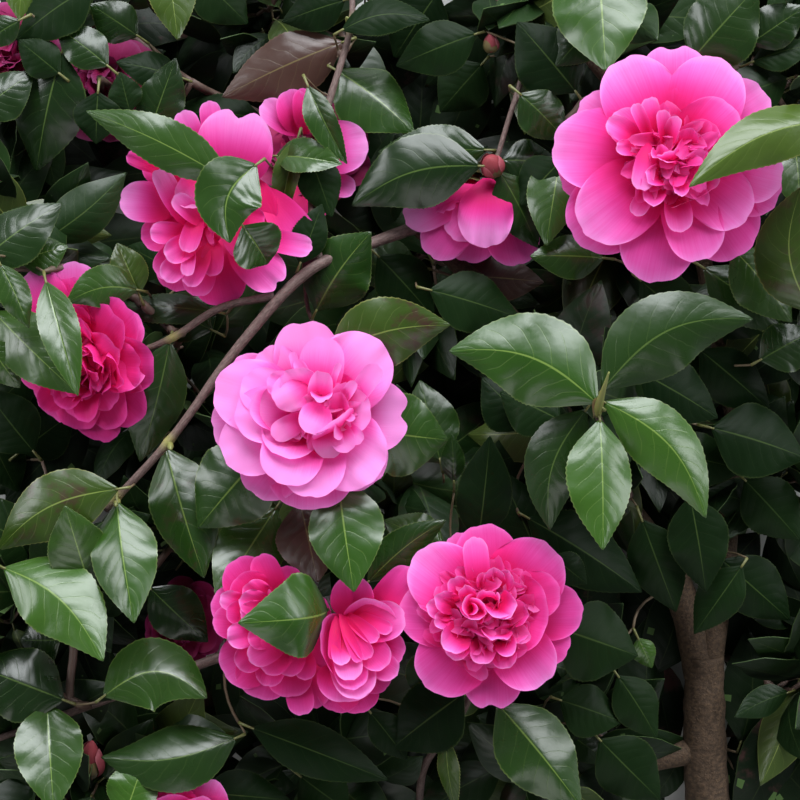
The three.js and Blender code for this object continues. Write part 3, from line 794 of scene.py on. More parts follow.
placed(inner, 140, [
    (262, 600, -2, 236, 578, 6, 44, K(.05, .36, cup=.3)),
    (270, 604, 2, 246, 584, 10, 30, K(.15, .50, cup=.4, ruffle=.1)),
    (252, 606, 0, 220, 597, 10, 22, K(.25, .80, cup=.5, ruffle=.06)),
    (250, 612, 2, 226, 612, 12, 26, K(.18, .50, cup=.5)),
    (272, 608, 6, 240, 598, 16, 28, K(.20, .62, cup=.4, ruffle=.07)),
    (272, 612, 6, 240, 612, 16, 26, K(.15, .60, cup=.4, ruffle=.07)),
    (268, 628, 4, 227, 638, 14, 28, K(.25, .70, cup=.4, ruffle=.10)),
    (278, 632, 6, 248, 640, 16, 26, K(.15, .52, cup=.5, ruffle=.07)),
    (290, 636, 8, 249, 660, 14, 28, K(.22, .62, cup=-.2, arch=.14)),
    (292, 640, 4, 264, 672, 10, 30, K(.18, .48, cup=-.1, arch=.14)),
    (300, 642, 2, 284, 675, 8, 28, K(.18, .50, cup=-.1, arch=.14)),
    (306, 648, 0, 305, 680, 4, 22, K(.18, .46, cup=-.1, arch=.14)),
    (262, 645, -2, 238, 668, 5, 30, K(.25, .56, cup=.3, ruffle=.08)),
    (275, 655, -4, 266, 686, 3, 30, K(.22, .54, cup=.3, ruffle=.10)),
    (288, 618, 8, 262, 624, 16, 26, K(.15, .50, cup=.4, ruffle=.07)),
    (296, 624, 6, 276, 612, 13, 26, K(.12, .44, cup=.4, ruffle=.07)),
], .12)
placed(inner, 140, [
    # the half-open one
    (350, 626, -2, 405, 616, 9, 42, K(.20, .82, cup=.35, arch=.12)),
    (352, 630, -2, 387, 666, 9, 34, K(.14, .64, cup=.5, arch=.10)),
    (360, 648, -4, 397, 675, 5, 28, K(.20, .72, cup=.4, arch=.12)),
    (338, 616, -6, 361, 698, 8, 50, K(.10, .84, cup=.75, arch=-.05)),
    (338, 618, -1, 356, 689, 10, 38, K(.08, .62, cup=.7, arch=-.04)),
    (339, 620, 2, 352, 680, 12, 30, K(.08, .92, cup=.5, arch=.04)),
    (338, 636, 6, 343, 665, 14, 20, K(.30, .92, cup=.4, arch=.06)),
    (342, 616, 3, 370, 658, 12, 20, K(.06, .56, cup=.8)),
    (340, 614, 3, 360, 662, 13, 14, K(.04, .50, cup=.8)),
    (346, 614, 2, 378, 640, 12, 18, K(.08, .60, cup=.7)),
    (336, 616, 2, 334, 660, 11, 14, K(.06, .44, cup=.8)),
    (350, 612, 0, 392, 630, 10, 16, K(.10, .60, cup=.6)),
], .18)

# the bloom at the upper left, seen from its side
placed(outer, 132, [
    (230, 190, -12, 240, 108, 0, 78, K(.46, .94, cup=.06, arch=.12, notch=.12)),
    (202, 162, -12, 182, 111, 0, 26, K(.40, .78, cup=.2)),
    (216, 152, -14, 209, 101, -4, 22, K(.35, .70, cup=.2)),
    (262, 188, -14, 311, 250, -6, 38, K(.34, .68, cup=.25, arch=.10)),
    (250, 178, -12, 264, 228, -8, 40, K(.0, .16, cup=.4)),
    (246, 236, -8, 312, 248, 2, 24, K(.30, .74, cup=.4, arch=.10)),
    (230, 238, -12, 280, 286, 0, 44, K(.34, .72, cup=.15, arch=.12, notch=.05, ruffle=.05)),
    (210, 238, -16, 226, 305, -8, 56, K(.10, .34, cup=.15, arch=.12)),
    (190, 236, -14, 172, 290, -6, 46, K(.14, .44, cup=.2, arch=.12)),
    (186, 226, -10, 142, 240, -2, 36, K(.18, .50, cup=.3, arch=.12)),
    (180, 206, -8, 120, 200, 4, 42, K(.24, .92, cup=.3, arch=.14)),
    (184, 190, -10, 146, 158, 0, 34, K(.14, .48, cup=.3, arch=.12)),
    (190, 246, -6, 158, 276, 2, 34, K(.20, .62, cup=.5, arch=.12)),
    (206, 250, -6, 196, 296, 2, 34, K(.16, .56, cup=.4, arch=.12)),
], .12)
placed(inner, 132, [
    (164, 172, 0, 127, 155, 7, 17, K(.12, .42, cup=.5, ruffle=.1)),
    (182, 194, 2, 157, 141, 12, 20, K(.22, .62, cup=.6, ruffle=.06)),
    (192, 190, 4, 170, 147, 14, 18, K(.30, .80, cup=.7, normal=(.5, .3, .8), ruffle=.06)),
    (208, 192, 2, 196, 152, 12, 24, K(.14, .60, cup=.7, ruffle=.06)),
    (208, 164, 8, 184, 207, 19, 36, K(.26, .96, cup=.45, arch=-.10, ruffle=.06)),
    (196, 236, 6, 156, 170, 18, 28, K(.34, .92, cup=.85, normal=(.5, -.1, .8), arch=-.06, ruffle=.06)),
    (206, 226, 8, 174, 196, 20, 22, K(.30, .84, cup=.7, normal=(.4, -.3, .8), ruffle=.06)),
    (200, 214, 8, 186, 252, 17, 22, K(.20, .66, cup=.6, ruffle=.06)),
    (196, 236, 4, 150, 232, 12, 24, K(.22, .66, cup=.5, ruffle=.07)),
    (200, 238, 6, 166, 258, 15, 28, K(.20, .72, cup=.6, ruffle=.07)),
    (196, 246, 4, 164, 280, 11, 26, K(.24, .74, cup=.5, ruffle=.07)),
    (208, 246, 4, 188, 286, 12, 24, K(.16, .62, cup=.6, ruffle=.06)),
    (192, 242, 8, 187, 276, 15, 16, K(.28, .88, cup=.8, ruffle=.06)),
    (214, 240, 2, 212, 276, 9, 24, K(.06, .44, cup=.5, ruffle=.06)),
    (232, 214, 0, 264, 224, 5, 30, K(.02, .30, cup=.4, ruffle=.06)),
    (232, 228, 2, 266, 246, 9, 24, K(.14, .54, cup=.5, ruffle=.06)),
    (224, 222, 2, 246, 256, 8, 26, K(.06, .40, cup=.5, ruffle=.06)),
    (222, 206, 2, 240, 200, 9, 28, K(.08, .40, cup=.5, ruffle=.06)),
], .12)


def double(b, rings, cups, petaloids, low, high, spread=1.0, in_painted_shade=False):
    """A double bloom by rule: rings of flat petals, upright cups, then a dome of petaloids. Shades run from low to high."""
    # The last flag puts the bloom's petals in the darkened petal finish: painted shade for blooms deep in the bough.
    rnd = b.rnd
    for k, (count, reach, height, width) in enumerate(rings):
        start = rnd.uniform(0, 2 * np.pi)
        for i in range(count):
            a = start + 2 * np.pi * (i + rnd.uniform(-0.12, 0.12)) / count
            r = b.r * reach * rnd.uniform(0.93, 1.03)
            b.ring(shaded_petals if in_painted_shade else outer, a, 3, b.depth * (-0.42 + 0.06 * k), r, b.depth * height + rnd.uniform(-1, 1),
                   b.r * width * rnd.uniform(0.9, 1.1), arch=rnd.uniform(.10, .18), cup=rnd.uniform(.1, .25),
                   curl=rnd.uniform(-.08, -.01), ruffle=rnd.uniform(.03, .06), notch=max(0, rnd.uniform(-.05, .07)),
                   twist=rnd.uniform(-8, 8), shade=(low + 0.05, low + (high - low) * rnd.uniform(0.6, 0.95)), rows=14, cols=13)
    for i in range(cups):
        a = 2 * np.pi * (i * 0.618) + rnd.uniform(-.2, .2)
        f = (i + 0.5) / cups
        r = b.r * (0.22 + 0.38 * f) * spread
        b.ring(shaded_petals if in_painted_shade else inner, a, r * 0.55, -b.depth * 0.15, r * 1.25, b.depth * (0.46 - 0.20 * f) * rnd.uniform(.85, 1.05),
               b.r * rnd.uniform(.34, .55), arch=rnd.uniform(-.12, .10), cup=rnd.uniform(.3, .9), curl=rnd.uniform(-.15, 0),
               ruffle=rnd.uniform(.05, .14), twist=rnd.uniform(-20, 20),
               shade=(max(0, low - 0.1), low + (high - low) * rnd.uniform(0.55, 1.0)), rows=11, cols=9)
    crumple(b, b.c, b.a, b.r * 0.40, petaloids, -0.05, 0.47, max(0, low - 0.1), high, pile=shaded_petals if in_painted_shade else core)


def crumple(b, centre, axis, radius, count, base, top, low, high, size=1.0, pile=core):
    """The small crumpled petaloids that fill a bloom's heart."""
    rnd = b.rnd
    # A ring of flat petals at the foot of the heart, given only the lowest third of the shades: painted shade at the
    # bottom of the heart.
    for i in range(7):
        a = i * 2 * np.pi / 7 + rnd.uniform(-.1, .1)
        out = b.e1 * math.cos(a) + b.e2 * math.sin(a)
        foot = centre + b.a * b.depth * (base + 0.06)
        petal(pile, foot - out * radius * 0.15, foot + out * radius * 1.15 + b.a * rnd.uniform(0, 2), radius * 1.1, rnd,
              normal=b.a, arch=.12, cup=.2, shade=(low, low + 0.35 * (high - low)), rows=7, cols=9)
    for i in range(count):
        f = math.sqrt((i + 0.5) / count)
        a = i * 2.39996
        out = b.e1 * math.cos(a) + b.e2 * math.sin(a)
        r = radius * f
        dome = math.sqrt(max(0.0, 1 - 0.7 * f * f))
        way = rnd.uniform(0, 2 * np.pi)
        look = b.e1 * math.cos(way) + b.e2 * math.sin(way)
        p0 = centre + out * r * 0.8 + look * 2.0 + b.a * b.depth * base
        p1 = centre + out * r * 1.04 + look * rnd.uniform(-2.5, 1.0) + b.a * b.depth * (base + (top - base) * dome * rnd.uniform(0.74, 1.0))
        petal(pile, p0, p1, rnd.uniform(8, 14) * size, rnd, normal=look + b.a * 0.15, arch=rnd.uniform(-.12, .12), cup=rnd.uniform(.2, .9),
              curl=rnd.uniform(-.65, -.22), ruffle=rnd.uniform(.05, .13), twist=rnd.uniform(-35, 35), bend=rnd.uniform(-.12, .12),
              shade=(low, low + (high - low) * rnd.uniform(0.55, 1.0)), rows=9, cols=9, strap=rnd.uniform() < 0.5)


def heart(name, u, v, z, radius, count, low, high, size=1.0, base=-0.12, top=0.30):
    b = BLOOMS[name]
    crumple(b, at(u, v, z), b.a, radius, count, base, top, low, high, size)


# The shade ranges given to the hearts and blooms below are partly their own pink and partly painted shade, lower for
# blooms that sit low or behind in the bough.
heart("bloom_front_left", 328, 408, 158, 17, 40, 0.05, 0.85, 0.95, top=0.36)
heart("bloom_front_left", 290, 425, 156, 9, 10, 0.0, 0.4, 0.8)
heart("bloom_upper_right", 670, 160, 162, 20, 90, 0.02, 0.58, 0.8, top=0.42)
heart("bloom_lower_middle", 484, 614, 146, 26, 110, 0.04, 0.60, 0.95, top=0.46)
placed(outer, 120, [
    (64, 330, -2, 30, 272, 8, 50, K(.20, .62, cup=.3, arch=.12)),
    (76, 330, -4, 74, 262, 6, 52, K(.22, .66, cup=.2, arch=.12)),
    (96, 350, 2, 140, 318, 12, 50, K(.14, .46, cup=.2, arch=.12)),
    (98, 368, 2, 146, 366, 12, 52, K(.14, .50, cup=.2, arch=.12)),
], 0.04)
heart("bloom_pair_left", 262, 622, 138, 17, 30, 0.02, 0.50, 0.9)
heart("bloom_upper_left", 200, 218, 134, 13, 14, 0.05, 0.60, 0.8)

FLAT2 = [(8, 1.0, -0.10, 0.80), (7, 0.86, 0.04, 0.74)]
double(BLOOMS["bloom_far_left"], [(8, 1.0, -0.06, 0.72), (7, 0.84, 0.08, 0.66), (6, 0.64, 0.18, 0.56)], 16, 40, 0.04, 0.42)
double(BLOOMS["bloom_behind_stem"], FLAT2, 10, 20, 0.02, 0.42, in_painted_shade=True)
placed(outer, 0, [
    (318, 152, 88, 368, 144, 102, 54, K(.38, .80, cup=.2, arch=.12)),
    (322, 180, 86, 355, 190, 94, 24, K(.35, .70, cup=.3, arch=.12)),
    (300, 134, 92, 262, 103, 104, 28, K(.38, .80, cup=.3, arch=.12)),
    (302, 134, 92, 288, 90, 106, 36, K(.15, .50, cup=.4, arch=.12)),
    (306, 134, 94, 305, 88, 106, 26, K(.05, .36, cup=.4, arch=.12)),
    (298, 176, 84, 320, 220, 92, 32, K(.0, .14, cup=.4, arch=.12)),
])
double(BLOOMS["bloom_drooping"], [(7, 0.60, 0.14, 0.52), (6, 0.48, 0.24, 0.46)], 8, 20, 0.08, 0.56)
placed(outer, 0, [
    (484, 188, 98, 466, 262, 100, 56, K(.10, .46, cup=-.3, arch=.14)),
    (480, 188, 103, 430, 256, 104, 50, K(.16, .54, cup=-.3, arch=.14)),
    (478, 188, 107, 405, 221, 108, 40, K(.30, .84, cup=-.3, arch=.14)),
    (494, 188, 102, 522, 264, 100, 56, K(.10, .46, cup=-.3, arch=.14)),
    (490, 186, 109, 452, 238, 110, 42, K(.16, .60, cup=-.35, arch=.16)),
    (488, 178, 111, 483, 247, 116, 57, K(.22, .98, cup=-.35, arch=.16, ruffle=.07)),
])
double(BLOOMS["bloom_corner"], FLAT2, 10, 24, 0.10, 0.60, in_painted_shade=True)
double(BLOOMS["bloom_deep_left"], FLAT2, 10, 22, 0.10, 0.60, in_painted_shade=True)
double(BLOOMS["bloom_bottom"], FLAT2, 12, 30, 0.10, 0.72)
double(BLOOMS["bloom_deep_low"], FLAT2, 10, 20, 0.02, 0.40, in_painted_shade=True)


# ------------------------------------------------------------------ wood

LIMBS = {
    "main_stem": ([[709, 885, 17], [708, 820, 26], [705, 745, 36], [704, 655, 45]], 13.2, 11.2),
    "limb_left": ([[703, 672, 43], [675, 580, 50], [600, 470, 60], [520, 330, 75], [412, 222, 100]], 9.0, 4.2),
    "limb_right": ([[705, 672, 43], [722, 560, 50], [728, 450, 60], [712, 300, 70], [665, 150, 80], [590, 60, 92]], 8.4, 3.2),
    "limb_low": ([[705, 748, 36], [600, 772, 40], [420, 812, 48], [250, 800, 52], [120, 768, 52]], 6.6, 3.0),
    "branch_a": ([[420, 226, 99], [372, 243, 110], [310, 270, 124], [240, 345, 132], [170, 440, 135], [105, 510, 125]], 3.4, 1.8),
    "branch_b": ([[274, 296, 127], [220, 308, 125], [172, 338, 122], [128, 356, 118]], 2.3, 1.6),
    "branch_c": ([[320, 266, 121], [312, 200, 116], [325, 118, 112], [351, 25, 100], [352, -20, 92]], 2.3, 1.5),
    "branch_d": ([[596, 66, 91], [560, 40, 98], [530, 62, 105], [515, 100, 112], [494, 168, 118]], 1.9, 1.2),
    "branch_e": ([[644, 526, 53], [540, 560, 62], [400, 600, 76], [212, 660, 96], [97, 703, 95], [-40, 752, 80]], 4.4, 1.6),
    "branch_f": ([[419, 812, 50], [425, 765, 70], [455, 725, 85], [478, 680, 104]], 2.3, 1.8),
    "whorl_twig": ([[640, 520, 55], [618, 470, 105], [598, 416, 172]], 2.8, 1.8)}
STOUT = ("main_stem", "limb_left", "limb_right", "limb_low")
NODES_ON = {"branch_a": [(170, 443), (119, 500)], "branch_b": [(175, 340), (140, 352)],
            "branch_c": [(325, 118), (351, 25)], "branch_d": [(495, 168)]}

stout, slim, twigs, green = Pile(), Pile(), Pile(), Pile()
paths = {}
for name, (points, r0, r1) in LIMBS.items():
    path = spline([at(*p) for p in points], 2.4 if name in STOUT else 2.6)
    f = np.linspace(0, 1, len(path))
    r = r0 + (r1 - r0) * f
    paths[name] = (path, r)
    if name in STOUT:
        flare = 0.0
        if name != "main_stem":
            r = r * (1 + 0.28 * np.exp(-f * len(path) * 2.4 / 14.0))      # the collar where a limb leaves the stem
        knots = 0.05 * r * (vnoise(path / 31.0, 9) + 0.6 * vnoise(path / 12.0, 4))
        tube(stout, path, r * 0.985 + knots, sides=44 if name == "main_stem" else 30, tone=(0.5, 0.5, 0.0),
             bumps=0.055 * r0, seed=len(name), bump_scale=7.0)
    else:
        tone = np.zeros((len(path), 3)) + [0.5, 0.5, 0.0]
        swell = np.ones(len(path))
        for u, v in NODES_ON.get(name, []):
            near = np.linalg.norm(plan(path) - [u, v], axis=1)
            g = np.exp(-(near / 7.0) ** 2)
            tone[:, 2] = np.maximum(tone[:, 2], 0.55 * g)
            swell += 0.28 * g
        swell += 0.06 * vnoise(path / 9.0, 3)
        tube(slim, path, r * swell, sides=14, tone=tone, bumps=0.06, seed=len(name) + 3, bump_scale=4.0)

# the sawn end of the stem, with its rings
end, r = paths["main_stem"][0][0], 13.0
way = unit(paths["main_stem"][0][0] - paths["main_stem"][0][1])
e1 = unit(np.cross(way, [0, 0, 1.0]))
e2 = np.cross(way, e1)
rad = np.linspace(0.02, 1, 12)[:, None] * r
ang = np.linspace(0, 2 * np.pi, 49)[None]
face = Pile()
disc = end + way * 0.35 + (np.cos(ang)[..., None] * e1 + np.sin(ang)[..., None] * e2) * (rad * (1 + 0.02 * np.sin(3 * ang)))[..., None]
face.sheet(disc, np.stack(np.broadcast_arrays(ang / (2 * np.pi), rad / r), -1), np.full((12, 49, 3), 0.5))

# ------------------------------------------------- what lies over what

CELL, EDGE = 5.0, -160.0
GRID = 224
ceiling = np.full((GRID, GRID), 1e3)
COVER, CELLS, IN, OUT = 4.0, 215, 9, 206
cover = np.zeros((CELLS, CELLS), bool)


def cells(points, size, start, n):
    q = plan(points).reshape(-1, 2)
    c = np.floor((q - start) / size).astype(int)
    ok = ((c >= 0) & (c < n)).all(1)
    return c, ok


def mark(points, drop=2.0, level=None):
    c, ok = cells(points, CELL, EDGE, GRID)
    z = np.asarray(points).reshape(-1, 3)[:, 2] - drop if level is None else np.full(len(c), level)
    for dx in (-1, 0, 1):
        for dy in (-1, 0, 1):
            x = np.clip(c[ok, 0] + dx, 0, GRID - 1)
            y = np.clip(c[ok, 1] + dy, 0, GRID - 1)
            np.minimum.at(ceiling, (y, x), z[ok])


def finer(grid):
    """A grid of points with its middles added."""
    for axis in (0, 1):
        a = np.moveaxis(grid, axis, 0)
        out = np.empty((2 * a.shape[0] - 1, *a.shape[1:]))
        out[0::2] = a
        out[1::2] = 0.5 * (a[1:] + a[:-1])
        grid = np.moveaxis(out, 0, axis)
    return grid


def covered(points):
    c, ok = cells(points, COVER, -30.0, CELLS)
    cover[c[ok, 1], c[ok, 0]] = True


LOW, HIGH = np.array([-287.0, -284.0, 2.0]), np.array([287.0, 284.0, 200.0])


def free(points, slack=0.0):
    """True if the points are inside the bough's room, clear of the blooms and under what shows above them."""
    p = np.asarray(points).reshape(-1, 3)
    if (p < LOW).any() or (p > HIGH).any():
        return False
    for b in BLOOMS.values():
        rel = p - b.c
        h = rel @ b.a
        rho = np.linalg.norm(rel - h[:, None] * b.a, axis=1)
        if ((rho / (b.r * 0.98)) ** 2 + (h / (b.depth * 0.56)) ** 2 < 1).any():
            return False
    c, ok = cells(p, CELL, EDGE, GRID)
    return not (p[ok, 2] > ceiling[c[ok, 1], c[ok, 0]] - slack).any()


for pile in (outer, inner, shaded_petals):
    for sheet in pile.co:
        mark(sheet, 2.0)
        covered(sheet)
for b in BLOOMS.values():
    ray, turn = np.mgrid[0:0.92:30j, 0:2 * np.pi:90j]
    covered(b.c + b.r * (ray * np.cos(turn))[..., None] * b.e1 + b.r * (ray * np.sin(turn))[..., None] * b.e2)
for name, (path, r) in paths.items():
    across = unit(np.cross(np.gradient(path, axis=0), [0, 0, 1.0]))
    width = (np.linspace(-0.95, 0.95, 13)[None, :, None]) * np.broadcast_to(r, (len(path),))[:, None, None]
    covered(finer(path[:, None] + across[:, None] * width))
    if name in ("branch_a", "branch_b", "branch_c", "branch_d"):
        mark(path, 3.0)
mark(spline([at(705, 800, 20), at(704, 655, 40)], 3.0), level=4.0)
mark(spline([at(712, 800, 20), at(711, 655, 40)], 3.0), level=4.0)
mark(spline([at(698, 800, 20), at(697, 655, 40)], 3.0), level=4.0)

# ------------------------------------------------------------- the leaves

piles = {k: Pile() for k in ("bright", "mid", "dark", "shade", "olive", "purple", "fill_mid", "fill_dark", "fill_painted_shade", "fill_olive")}
KEYS = {"b": "bright", "m": "mid", "d": "dark", "s": "shade", "o": "olive", "p": "purple"}
wants = []          # (point where a stalk leaves its twig, way it points)
leaves_made = 0


def stalk(base, way, length, radius=0.75, tint=0.5):
    """The short stalk under a leaf. Returns the point on the twig that it needs."""
    start = base - way * length + np.array([0, 0, -0.22 * length])
    t = np.linspace(0, 1, 5)[:, None]
    mid = base - way * length * 0.45
    path = (1 - t) ** 2 * start + 2 * t * (1 - t) * mid + t ** 2 * (base + way * 1.2)
    tube(green, path, radius * np.linspace(1.25, 0.8, 5), sides=6, tone=(tint, 0.5, 0.0))
    return start


# A leaf's key and tone set how light or dark its green is: partly the leaf's own colour and partly painted light and
# shade, lighter where it catches the light and darker where it sits in shade.
def H(key, u0, v0, z0, u1, v1, z1, w, roll=0.0, fold=-8.0, arch=0.07, bend=0.0, **kw):
    """A leaf laid by its place on the plan."""
    global leaves_made
    rnd = np.random.default_rng(int(abs(u0) * 7919 + abs(v0) * 104729 + w))
    base, tip = at(u0, v0, z0), at(u1, v1, z1)
    width = w * (VIEW_H - 0.5 * (z0 + z1)) / UNIT
    mid, n, top = leaf(piles[KEYS[key]], base, tip, width, rnd, roll=roll, fold=fold, arch=arch, bend=bend, **kw)
    mark(top)
    covered(finer(top))
    way = unit(mid[2] - mid[0])
    wants.append((stalk(base, way, rnd.uniform(5, 8)), way))
    leaves_made += 1


# round the bloom at the upper left, and above it
H("m", 232, 182, 160, 86, 111, 152, 50, roll=-6, fold=-8, bend=.03)
H("m", 256, 165, 163, 230, 243, 168, 72, roll=-8, fold=18, bend=.20, tone=.4)
H("m", 243, 226, 152, 268, 264, 140, 62, roll=-14, fold=26, tone=.3)
H("d", 62, 52, 90, 36, 172, 74, 74, roll=6)
H("s", 92, -14, 94, 16, 40, 88, 60, roll=14)
H("d", -24, 116, 92, 34, 72, 88, 52, roll=-10)
H("d", 108, 66, 92, 56, 26, 90, 44, roll=10)
H("s", 98, 92, 90, 96, 144, 86, 50)
H("s", 60, 74, 92, 18, 40, 92, 40)
H("s", 130, 112, 88, 120, 72, 90, 34)
H("d", 148, 136, 80, 176, 58, 84, 48, roll=6)
H("s", 182, 78, 78, 116, 62, 84, 40, roll=16)
H("d", 138, 36, 76, 90, 4, 80, 44)
H("d", 20, 20, 96, -20, 46, 92, 30)
H("o", 26, -50, 80, 19, 20, 86, 44)
H("o", 165, -50, 86, 178, 40, 94, 50, roll=-8)
H("s", 196, -24, 72, 248, 24, 66, 54, roll=-10)
H("p", 343, 42, 84, 222, 97, 78, 66, roll=6)
H("s", 262, 118, 66, 168, 112, 60, 44, roll=12)
H("s", 342, 30, 112, 430, 20, 116, 42, roll=-22, bend=-.10)
H("s", 345, 0, 90, 282, 22, 84, 44)
H("s", 476, 34, 100, 396, 66, 96, 56, roll=4)
H("m", 336, 70, 92, 414, 132, 96, 76, roll=-22, fold=-12)
H("d", 480, 166, 128, 352, 206, 118, 76, roll=0, fold=-12, bend=.10)
H("d", 486, 150, 112, 378, 152, 104, 54, roll=3)
H("d", 500, 172, 118, 538, 248, 106, 50, roll=-14)
H("d", 502, 160, 112, 560, 164, 104, 46, roll=-8)
H("m", 308, 86, 124, 347, 164, 126, 34, fold=26, roll=14, tone=.2)
H("m", 276, 156, 118, 342, 164, 130, 40, fold=16, roll=-18, tone=.6)
H("o", 298, 138, 120, 279, 224, 112, 34, fold=38, roll=10)
H("s", 308, 152, 121, 332, 217, 120, 44, roll=-6)
H("s", 300, 264, 127, 322, 204, 126, 36, roll=6)
H("m", 316, 311, 112, 371, 232, 126, 72, roll=4, fold=-10, bend=-.04, tone=.1)
H("s", 378, 256, 92, 434, 318, 84, 58, roll=-8)
H("d", 420, 268, 84, 344, 262, 78, 52)
H("s", 430, 290, 110, 520, 318, 100, 62, roll=-8)
H("p", 462, 276, 84, 544, 282, 78, 50, roll=-6)
# round the wide bloom
H("b", 598, -52, 132, 606, 71, 152, 96, roll=8, fold=-8, arch=.03, tone=.3)
H("d", 690, 62, 130, 758, -14, 138, 78, roll=-8)
H("d", 750, 44, 126, 806, 6, 130, 46)
H("s", 752, 62, 120, 815, 44, 124, 36, roll=-24)
H("o", 852, 122, 172, 689, 187, 192, 60, roll=6, fold=-20, bend=.10, tone=.9)
H("s", 576, 92, 120, 517, 22, 116, 72, roll=-2)
H("d", 520, 94, 124, 566, 140, 116, 50, roll=-8)
H("d", 600, 20, 118, 556, 66, 122, 50, roll=8)
H("s", 562, 160, 124, 520, 205, 116, 54, roll=10)
H("m", 562, 150, 118, 546, 246, 128, 54, roll=8)
H("m", 604, 258, 116, 530, 256, 124, 48, roll=10, fold=-16)
H("o", 812, 312, 138, 802, 186, 150, 68, roll=-10, bend=-.14, blotch=.5, tone=.2)
H("m", 732, 248, 122, 792, 322, 112, 62, roll=-16)
H("d", 704, 268, 106, 784, 332, 96, 54, roll=-12)
H("s", 640, 280, 98, 700, 330, 98, 54, roll=8)
H("m", 790, 120, 108, 800, 215, 124, 60, roll=-10, tone=.9)
# the leaves round the end bud
H("b", 597, 403, 184, 449, 351, 176, 94, roll=2, fold=-13, bend=.13, tone=.15)
H("d", 602, 390, 180, 753, 319, 176, 84, roll=4, fold=-14, bend=-.16, tone=1.0)
H("b", 600, 420, 180, 603, 550, 195, 68, roll=-8, fold=-10, arch=.045, tone=.6)
H("b", 604, 402, 176, 706, 518, 172, 68, roll=-8, fold=-14, bend=-.12, tone=.7)
H("d", 586, 410, 172, 550, 530, 160, 64, roll=9, fold=-12, bend=.12, tone=.9)
H("s", 640, 372, 130, 718, 418, 116, 64, roll=-8)
H("s", 560, 420, 128, 500, 392, 118, 60, roll=8)
# the right side
H("s", 712, 428, 100, 806, 458, 96, 78, roll=-14)
H("d", 760, 360, 104, 815, 330, 100, 52, roll=-10)
H("s", 700, 350, 92, 770, 410, 84, 56)
H("s", 745, 480, 76, 800, 540, 70, 60)
H("s", 660, 452, 90, 745, 470, 82, 56, roll=-12)
H("s", 690, 496, 98, 706, 592, 88, 62)
H("s", 722, 560, 66, 790, 620, 58, 60)
H("s", 642, 520, 88, 676, 612, 78, 58, roll=6)
H("s", 742, 566, 82, 694, 634, 76, 46, roll=8)
# the left side
H("d", -22, 264, 140, 62, 203, 134, 60, roll=-15)
H("m", 20, 262, 128, 68, 246, 126, 44, roll=-20, tone=.8)
H("m", 0, 264, 154, 29, 328, 148, 34, roll=-26)
H("m", 46, 282, 142, 78, 396, 162, 42, roll=-6, fold=18, tone=.8)
H("m", -6, 312, 124, 78, 394, 146, 62, roll=2, tone=.9)
H("m", -14, 340, 134, 20, 388, 128, 40, tone=.8)
H("s", 34, 452, 72, -16, 388, 66, 60)
H("m", 138, 290, 128, 66, 303, 142, 44, fold=-6, roll=-10, bend=.12, tone=.6)
H("o", 139, 294, 126, 117, 243, 126, 40, fold=20, roll=10, tone=.3)
H("d", 170, 342, 122, 140, 462, 110, 60, roll=-16)
H("d", 216, 312, 112, 106, 308, 102, 34, roll=24)
H("d", 212, 330, 100, 150, 300, 92, 50)
H("m", 166, 448, 106, 204, 578, 122, 74, roll=4, fold=-16, tone=.2, blotch=.5)
H("o", 118, 489, 144, -2, 550, 130, 68, roll=6, bend=.10, blotch=.7, tone=.1)
H("b", 117, 502, 134, 134, 623, 158, 72, roll=4, fold=-18, tone=.2)
H("m", 90, 586, 130, 65, 506, 150, 62, roll=6, tone=.9)
H("b", 4, 568, 134, 103, 661, 158, 80, roll=-14, fold=-12, bend=-.10, tone=.75)
H("m", 104, 696, 124, 207, 698, 122, 80, roll=-27, fold=-14, bend=-.24, tone=.5)
H("d", 64, 700, 112, -30, 664, 104, 78, roll=14, fold=-14)
H("m", 47, 704, 108, 54, 812, 132, 70, roll=-8, fold=14, tone=.5)
H("b", 124, 818, 118, 146, 755, 112, 52, roll=4, tone=.6)
H("d", 236, 738, 108, 101, 757, 112, 70, roll=20, fold=-16, bend=-.10, tone=.8)
H("d", 150, 588, 92, 208, 642, 84, 54)
H("d", 60, 640, 96, 20, 640, 88, 60)
# round the pale bloom and the pair
H("o", 330, 354, 146, 450, 325, 150, 72, roll=9, fold=-8, bend=-.08, blotch=.9, tone=.2)
H("b", 368, 430, 142, 448, 440, 138, 86, roll=5, fold=-8, tone=.1)
H("m", 264, 452, 142, 198, 528, 126, 88, roll=6, fold=-10, tone=.2)
H("b", 338, 478, 146, 354, 592, 160, 78, roll=4, fold=-12, tone=.2)
H("p", 300, 502, 112, 318, 582, 131, 66, arch=.02, fold=-2, tone=1.0)
H("m", 276, 508, 108, 216, 600, 130, 70, roll=4, arch=.02, fold=-2, tone=1.0)
H("b", 328, 610, 134, 238, 623, 174, 86, roll=-2, fold=-12, arch=.26, tone=.2)
H("m", 368, 582, 128, 446, 520, 126, 42, roll=10, bend=-.06, tone=.1)
H("m", 444, 548, 116, 384, 520, 110, 46, roll=10)
H("s", 478, 542, 126, 490, 436, 136, 58, roll=4, fold=-14)
H("s", 530, 428, 112, 482, 378, 106, 62, roll=8)
H("d", 454, 482, 118, 452, 434, 124, 24)
H("d", 440, 460, 92, 420, 380, 86, 60)
H("s", 540, 560, 104, 500, 470, 96, 60)
